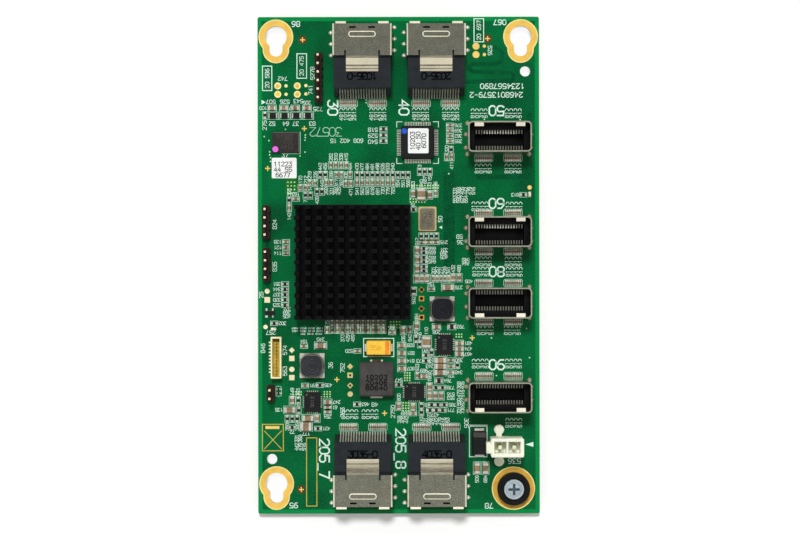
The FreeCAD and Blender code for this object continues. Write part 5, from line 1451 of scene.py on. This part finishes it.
@dataclass
class PowerStage(Assembly):
    """Regulators, inductors, the moulded capacitor and the power diode."""

    edge: float = 0.15
    drum_edge: float = 0.35
    coil_lines: tuple[tuple[str, float], ...] = (("80640", -2.6), ("20406", -1.0), ("10203", 0.6))
    bar_span: Point = (-4.1, -2.9)
    bar_inset: float = 0.2
    number_x: float = -7.0
    dot_inset: float = 0.8
    dot_radius: float = 0.3
    diode_bar: Sides = (0.35, 1.9, 0.35, 0.4)
    strap_from: float = -34.0
    strap_joint: float = 0.7
    strap_spread: float = 0.1
    strap_cover: float = 0.05
    strap_round: float = 0.12
    land_count: int = 6
    land_pitch: float = 0.62
    land_size: Point = (0.3, 0.42)
    land_height: float = 0.1
    land_edge: float = 0.04
    wire_radius: float = 3.55
    wire_taper: float = 0.02
    wire_turns: int = 3
    wire_lift: float = 0.35
    wire_pitch: float = 0.62
    wire_height: float = 0.4
    wire_bulge: float = 0.14
    base_corner: float = 3.0
    corner_size: Point = (1.5, 1.5)
    corner_lift: float = 0.03
    corner_edge: float = 0.1
    highlight_arcs: tuple[float, ...] = (1.1, 2.0, 2.9)
    arc_shift: float = 0.1
    arc_turn: float = 40.0
    highlight_line: float = 0.14

    def build(self) -> None:
        """Dresses the parts and draws their marks."""
        dress("regulator_chips", CHIP, self.edge)
        dress("power_inductor", FERRITE, self.edge)
        dress("power_inductor_terminals", TIN, pick=Split(Measure.Y, self.strap_from, TIN, BROWN_STRAP))
        dress("drum_inductor_bases", PLATED_BASE, self.edge, Split(Measure.X, 0.0, PLATED_BASE, DULL_BASE))
        top = Split(Measure.X, 0.0, DARK_FERRITE, BLACK_FERRITE)
        # The drum cores' sloping and side faces take a lighter copy: a painted highlight ring.
        painted_highlight = Split(Measure.UP, LEVEL_TOP, DRUM_EDGE_HIGHLIGHT, top)
        dress("drum_inductor_cores", DARK_FERRITE, self.drum_edge, painted_highlight)
        dress("tantalum_capacitor", TANTALUM, self.edge)
        dress("tantalum_terminals", TIN)
        dress("power_diode", CHIP, self.edge)
        dress("diode_terminals", TIN)
        self.marks()
        self.strap_solder()
        self.lands()
        self.windings()

    def marks(self) -> None:
        """Prints the numbers and bars on the parts."""
        sketch = Sketch()
        coil = node_box("power_inductor")
        x, y = coil.middle
        for words, shift in self.coil_lines:
            sketch.text(words, (x, y + shift), COIL_PRINT, Turn.LEVEL, coil.z1 + MARK_LIFT, FERRITE_MARK)
        box = node_box("tantalum_capacitor")
        z = box.z1 + MARK_LIFT
        left, right = self.bar_span
        bar = rectangle((left, box.y0 + self.bar_inset, right, box.y1 - self.bar_inset))
        sketch.patch(bar, z, TANTALUM_BAR)
        place = (self.number_x, box.middle[1])
        sketch.text("358", place, TANTALUM_PRINT, Turn.LEVEL, z, TANTALUM_MARK)
        for box in solids("regulator_chips"):
            z = box.z1 + MARK_LIFT
            place = (box.x0 + self.dot_inset, box.y1 - self.dot_inset)
            sketch.patch(circle(place, self.dot_radius, 16), z, CHIP_MARK_AND_HIGHLIGHT)
            sketch.text("3012", box.middle, CHIP_PRINT, Turn.CLIMBING, z, CHIP_MARK_AND_HIGHLIGHT)
        box = node_box("power_diode")
        left, low, right, high = self.diode_bar
        bar = rectangle((box.x0 + left, box.y1 - low, box.x1 - right, box.y1 - high))
        sketch.patch(bar, box.z1 + MARK_LIFT, FAINT_MARK)
        sketch.piece("part_marks")

    def strap_solder(self) -> None:
        """Draws the solder at both ends of the upper strap."""
        sketch = Sketch()
        strap = max(solids("power_inductor_terminals"), key=lambda box: box.y1)
        y0 = node_box("power_inductor").y1
        for x0 in (strap.x0 - self.strap_spread, strap.x1 - self.strap_joint + self.strap_spread):
            x1, y1, z1 = x0 + self.strap_joint, strap.y1 + self.strap_cover, strap.z1 + self.strap_cover
            sketch.slab(Block(x0, y0, BOARD_TOP, x1, y1, z1), self.strap_round, SOLDER)
        sketch.piece("strap_solder", smooth=SOLDER_ANGLE)

    def lands(self) -> None:
        """Draws the tinned lands that show round each leadless chip."""
        sketch = Sketch()
        out = self.land_size[1]
        for box in solids("regulator_chips"):
            x, y = box.middle
            for i in range(self.land_count):
                shift = (i - (self.land_count - 1) / 2) * self.land_pitch
                for place, size in (
                    ((x + shift, box.y1 + out / 2), self.land_size),
                    ((x + shift, box.y0 - out / 2), self.land_size),
                    ((box.x1 + out / 2, y + shift), self.land_size[::-1]),
                    ((box.x0 - out / 2, y + shift), self.land_size[::-1]),
                ):
                    land = Block.about(place, size, BOARD_TOP, BOARD_TOP + self.land_height)
                    sketch.slab(land, self.land_edge, TIN)
        sketch.piece("chip_lands")

    def windings(self) -> None:
        """Draws the wire that shows round each drum, the plated corners of its base and arcs of painted
        highlight on its top.
        """
        sketch = Sketch()
        top = node_box("drum_inductor_cores").z1 + MARK_LIFT
        for base in solids("drum_inductor_bases"):
            x, y = base.middle
            for turn in range(self.wire_turns):
                radius = self.wire_radius - self.wire_taper * turn
                z = base.z1 + self.wire_lift + turn * self.wire_pitch
                bulge = (radius + self.wire_bulge, z + self.wire_height / 2)
                sketch.cone((x, y), [(radius, z), bulge, (radius, z + self.wire_height)], 40, COPPER_WIRE)
            for i, j in CORNERS:
                place = (x + i * self.base_corner, y + j * self.base_corner)
                corner = Block.about(place, self.corner_size, base.z0, base.z1 + self.corner_lift)
                sketch.slab(corner, self.corner_edge, TIN)
            # Arcs across each drum's top, lighter than the top: painted highlight.
            for radius in self.highlight_arcs:
                arc = circle((x + self.arc_shift * radius, y), radius, 36, self.arc_turn * radius)[:26]
                sketch.ribbon(arc, self.highlight_line, top, FERRITE_HIGHLIGHT if x < 0 else DARK_FERRITE)
        sketch.piece("drum_windings", smooth=SMOOTH_ANGLE)


@dataclass
class Clock(Assembly):
    """The oscillator."""

    edge: float = 0.12
    lines: tuple[tuple[str, float], ...] = (("750", -0.8), ("0246", 0.8))

    def build(self) -> None:
        """Dresses the oscillator and marks its lid."""
        dress("oscillator_base", OSCILLATOR_BODY, self.edge)
        dress("oscillator_lid", OSCILLATOR_LID, self.edge)
        sketch = Sketch()
        lid = node_box("oscillator_lid")
        for words, shift in self.lines:
            place = (lid.middle[0] + shift, lid.middle[1])
            sketch.text(words, place, LID_PRINT, Turn.CLIMBING, lid.z1 + MARK_LIFT, OSCILLATOR_INK)
        sketch.piece("oscillator_print")


@dataclass
class Connectors(Assembly):
    """The ten-way wire connector, the two-way power connector and the pin headers."""

    edge: float = 0.15
    strip_edge: float = 0.12
    pin_edge: float = 0.05
    tip_slope: float = 0.3
    foot_side: float = -38.35
    cavities: Block = Block(28.6, -57.8, 5.0, 37.5, -53.3, 12.9)
    trough: Block = Block(-37.96, -33.55, 0.0, -35.74, -21.95, 6.9)

    def build(self) -> None:
        """Dresses the connectors."""
        # Faces inside the trough take an amber colour, darker than the cream moulding.
        dress("wire_connector_housing", CREAM, self.edge, Inside(self.trough, AMBER, CREAM))
        feet = Split(Measure.X, self.foot_side, PALE_SOLDER, GILT_CONTACT)
        dress("wire_connector_contacts", GILT_CONTACT, pick=feet)
        # Faces inside the cavities take the paler ivory: painted light.
        dress("power_connector_housing", IVORY, self.edge, Inside(self.cavities, LIT_IVORY_CAVITY, IVORY))
        dress("power_connector_pins", DULL_TIN)
        dress("header_strips", BROWN_BLACK, self.strip_edge)
        # Header pins: faces that face up take the pale tip finish, the others the dark copy, painted shade.
        dress("header_pins", SHADED_PIN_SIDE, self.pin_edge, Split(Measure.UP, self.tip_slope, SHADED_PIN_SIDE, PIN_TIP))


@dataclass
class SmallParts(Assembly):
    """Small diodes, the four-lead chip, lamps and the locking screw."""

    edge: float = 0.1
    fine_edge: float = 0.06
    foot_height: float = 0.32
    screw: Point = (34.55, -67.4)
    cross_radius: float = 1.9
    cross_top: float = 6.35

    def build(self) -> None:
        """Dresses the parts."""
        feet = Split(Measure.Z, BOARD_TOP + self.foot_height, TIN, CHIP)
        dress("small_diodes", CHIP, self.edge, feet)
        dress("four_lead_chip", CHIP, self.fine_edge, feet)
        dress("indicator_lamps", LAMP, self.fine_edge)
        dress("screw_collar", BLACK, self.edge)
        dress("locking_screw", STEEL, self.fine_edge, self.recessed)

    def recessed(self, place: Vector, normal: Vector) -> Finish:
        """Gives the screw's finish: shaded inside its cross, bright outside."""
        inside = (place.xy - Vector(self.screw)).length < self.cross_radius and place.z < self.cross_top
        return SHADED_STEEL if inside else STEEL


@dataclass
class SolderSide(Assembly):
    """Solder round each tail that goes through the board."""

    tailed: tuple[str, ...] = (
        *(f"edge_port_{n}_cage" for n in range(1, 5)), *(f"upright_port_{n}_shell" for n in range(1, 5)),
        "header_pins", "power_connector_pins",
    )
    gather: float = 1.0
    broad_gather: float = 2.2
    tail_end: float = 0.3
    joint: tuple[Point, ...] = ((0.42, 0.45), (0.5, 0.75), (0.62, 1.1))
    foot: float = 0.85
    broad_foot: float = 1.25
    foot_z: float = BOARD_BOTTOM - 0.02
    joint_sides: int = 14
    shell_sides: int = 4
    shell_rise: tuple[Point, ...] = ((0.85, 0.0), (0.74, 0.12), (0.4, 0.36))
    cage_rise: tuple[Point, ...] = ((0.62, 0.0), (0.52, 0.25), (0.34, 0.42))

    def build(self) -> None:
        """Draws the joints below and above the board."""
        sketch = Sketch()
        for node in self.tailed:
            foot = self.broad_foot if "connector" in node else self.foot
            for place in self.tips(node):
                sketch.cone(place, [*self.joint, (foot, self.foot_z)], self.joint_sides, SOLDER)
                if "port" in node:
                    rise, sides, finish = self.cage_rise, self.joint_sides, PALE_SOLDER
                    if "shell" in node:
                        rise, sides, finish = self.shell_rise, self.shell_sides, WARM_SOLDER
                    sketch.cone(place, [(radius, BOARD_TOP + z) for radius, z in rise], sides, finish)
        sketch.piece("solder_joints", smooth=SOLDER_ANGLE)

    def tips(self, node: str) -> list[Point]:
        """Finds where a node's tails end.

        Args:
            node: The node's name.

        Returns:
            The middle of each tail.
        """
        groups: list[list[Vector]] = []
        reach = self.broad_gather if "connector" in node else self.gather
        for spot in (vert.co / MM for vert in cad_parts[node].data.vertices):
            if spot.z > self.tail_end:
                continue
            near = [group for group in groups if (group[0].xy - spot.xy).length < reach]
            if near:
                near[0].append(spot)
            else:
                groups.append([spot])
        return [tuple((min(p[i] for p in g) + max(p[i] for p in g)) / 2 for i in (0, 1)) for g in groups]


@dataclass
class Studio:
    """White floor, soft light and the camera above the board."""

    camera_height: float = 600.0
    camera_place: Point = (0.42, -0.4)
    lens: float = 89.4
    sensor: float = 36.0
    clip_start: float = 0.01
    roll: float = 0.1
    light_stops: tuple[Point, ...] = ((0.0, 0.5), (0.3, 0.68), (0.65, 0.58), (0.9, 0.2))
    room_stops: tuple[Point, ...] = ((0.0, 1.0), (0.77, 0.98), (0.914, 0.82), (0.961, 0.4), (0.985, 0.16))
    sky_tint: Point3 = (1.0, 0.99, 0.97)
    dim_way: Point3 = (0.0, 0.05, 1.0)
    lamp_power: float = 64.0
    lamp_size: float = 0.5
    lamp_distance: float = 3.0
    lamp_way: Point3 = (-0.04, 0.38, 0.92)
    floor_half: float = 3.0
    floor_z: float = -0.0003
    floor_white: float = 0.99
    floor_glow: float = 0.1
    # Glow of the floor below the corner holes, for camera, glossy and transmission rays: painted light.
    hole_painted_light: float = 0.9
    glow_span: Point = (-3.2, -1.2)
    corner_from: Point = (30.0, 54.0)

    def build(self) -> None:
        """Sets up the scene round the board."""
        bpy.context.scene.view_settings.view_transform = "Standard"
        self.floor()
        self.world()
        self.lamp()
        self.camera()

    def floor(self) -> None:
        """Lays a white floor that keeps the board's shadow, and glows below its corner holes with painted
        light.
        """
        mesh = bpy.data.meshes.new("studio_floor")
        half = self.floor_half
        corners = raised(rectangle((-half, -half, half, half)), self.floor_z)
        mesh.from_pydata(corners, [], [(0, 1, 2, 3)])
        floor = added("studio_floor", mesh)
        material = bpy.data.materials.new("studio_white")
        material.use_nodes = True
        graph = Graph(material.node_tree)
        graph.tree.nodes.clear()
        x, y, _ = graph.axes(graph.place())
        past = graph.past(x, y)
        ends = [end * MM for end in self.glow_span]
        around = graph.span(past, 0.0, self.floor_glow, *ends)
        # Inside the board's outline near its corners the floor glows: painted light that lifts the shadow
        # below the holes.
        below = graph.span(past, self.hole_painted_light, 0.0, *ends)
        for part, start in zip((x, y), self.corner_from):
            corner = graph.span(part, 0.0, 1.0, start * MM, (start + 1.0) * MM)
            below = graph.sum("MULTIPLY", below, corner)
        share = graph.sum("MULTIPLY", graph.seen(), graph.sum("ADD", around, below))
        white = (self.floor_white, self.floor_white, self.floor_white, 1.0)
        matt = graph.add("BsdfDiffuse", {"Color": white}).outputs[0]
        glow = graph.add("Emission").outputs[0]
        mix = graph.add("MixShader", {0: share, 1: matt, 2: glow}).outputs[0]
        graph.add("OutputMaterial", {"Surface": mix})
        mesh.materials.append(material)

    def world(self) -> None:
        """Lights the scene from all round, and shows metal a white room with a dim patch above."""
        world = bpy.data.worlds.new("studio_sky")
        bpy.context.scene.world = world
        world.use_nodes = True
        graph = Graph(world.node_tree)
        ways = {0: graph.add("TexCoord").outputs["Generated"], 1: Vector(self.dim_way).normalized()}
        height = graph.add("VectorMath", ways, operation="DOT_PRODUCT").outputs["Value"]
        light, room = (self.levels(graph, height, stops) for stops in (self.light_stops, self.room_stops))
        graph.fill(graph.tree.nodes["Background"], {"Color": graph.blend(graph.seen(), light, room)})

    def levels(self, graph: Graph, height: Socket, stops: Sequence[Point]) -> Socket:
        """Gives a grey that changes with height in the sky.

        Args:
            graph: The world's nodes.
            height: 0 at the horizon, 1 above.
            stops: Heights and their levels.

        Returns:
            A colour output.
        """
        node = graph.add("ValToRGB", {0: height})
        elements = node.color_ramp.elements
        while len(elements) < len(stops):
            elements.new(0.5)
        for element, (place, level) in zip(elements, stops):
            element.position = place
            element.color = (*(level * share for share in self.sky_tint), 1.0)
        return node.outputs[0]

    def lamp(self) -> None:
        """Hangs the soft lamp above the upper edge."""
        light = bpy.data.lights.new("studio_lamp", "AREA")
        light.energy = self.lamp_power
        light.shape = "DISK"
        light.size = self.lamp_size
        lamp = added("studio_lamp", light)
        way = Vector(self.lamp_way).normalized()
        lamp.location = way * self.lamp_distance
        lamp.visible_glossy = False
        lamp.rotation_euler = way.to_track_quat("Z", "Y").to_euler()

    def camera(self) -> None:
        """Looks straight down at the board."""
        lens = bpy.data.cameras.new("studio_camera")
        lens.lens = self.lens
        lens.sensor_width = self.sensor
        lens.clip_start = self.clip_start
        camera = added("studio_camera", lens)
        camera.location = Vector((*self.camera_place, BOARD_TOP + self.camera_height)) * MM
        camera.rotation_euler = Euler((0.0, 0.0, math.radians(-self.roll)))
        bpy.context.scene.camera = camera


def main() -> None:
    """Builds the board's assemblies in order, then the studio."""
    logging.basicConfig(level=logging.INFO, format="%(message)s")
    chips = ChipField()
    assemblies: list[Assembly] = [
        Laminate(),
        CopperArt(),
        chips,
        Legend(chips),
        *(EdgePort(number) for number in range(1, 5)),
        *(UprightPort(number) for number in range(1, 5)),
        Cooler(),
        LogicChips(),
        PowerStage(),
        Clock(),
        Connectors(),
        SmallParts(),
        SolderSide(),
    ]
    for assembly in assemblies:
        assembly.build()
        LOG.info("%s built", type(assembly).__name__)
    Studio().build()


if __name__ == "__main__":
    main()
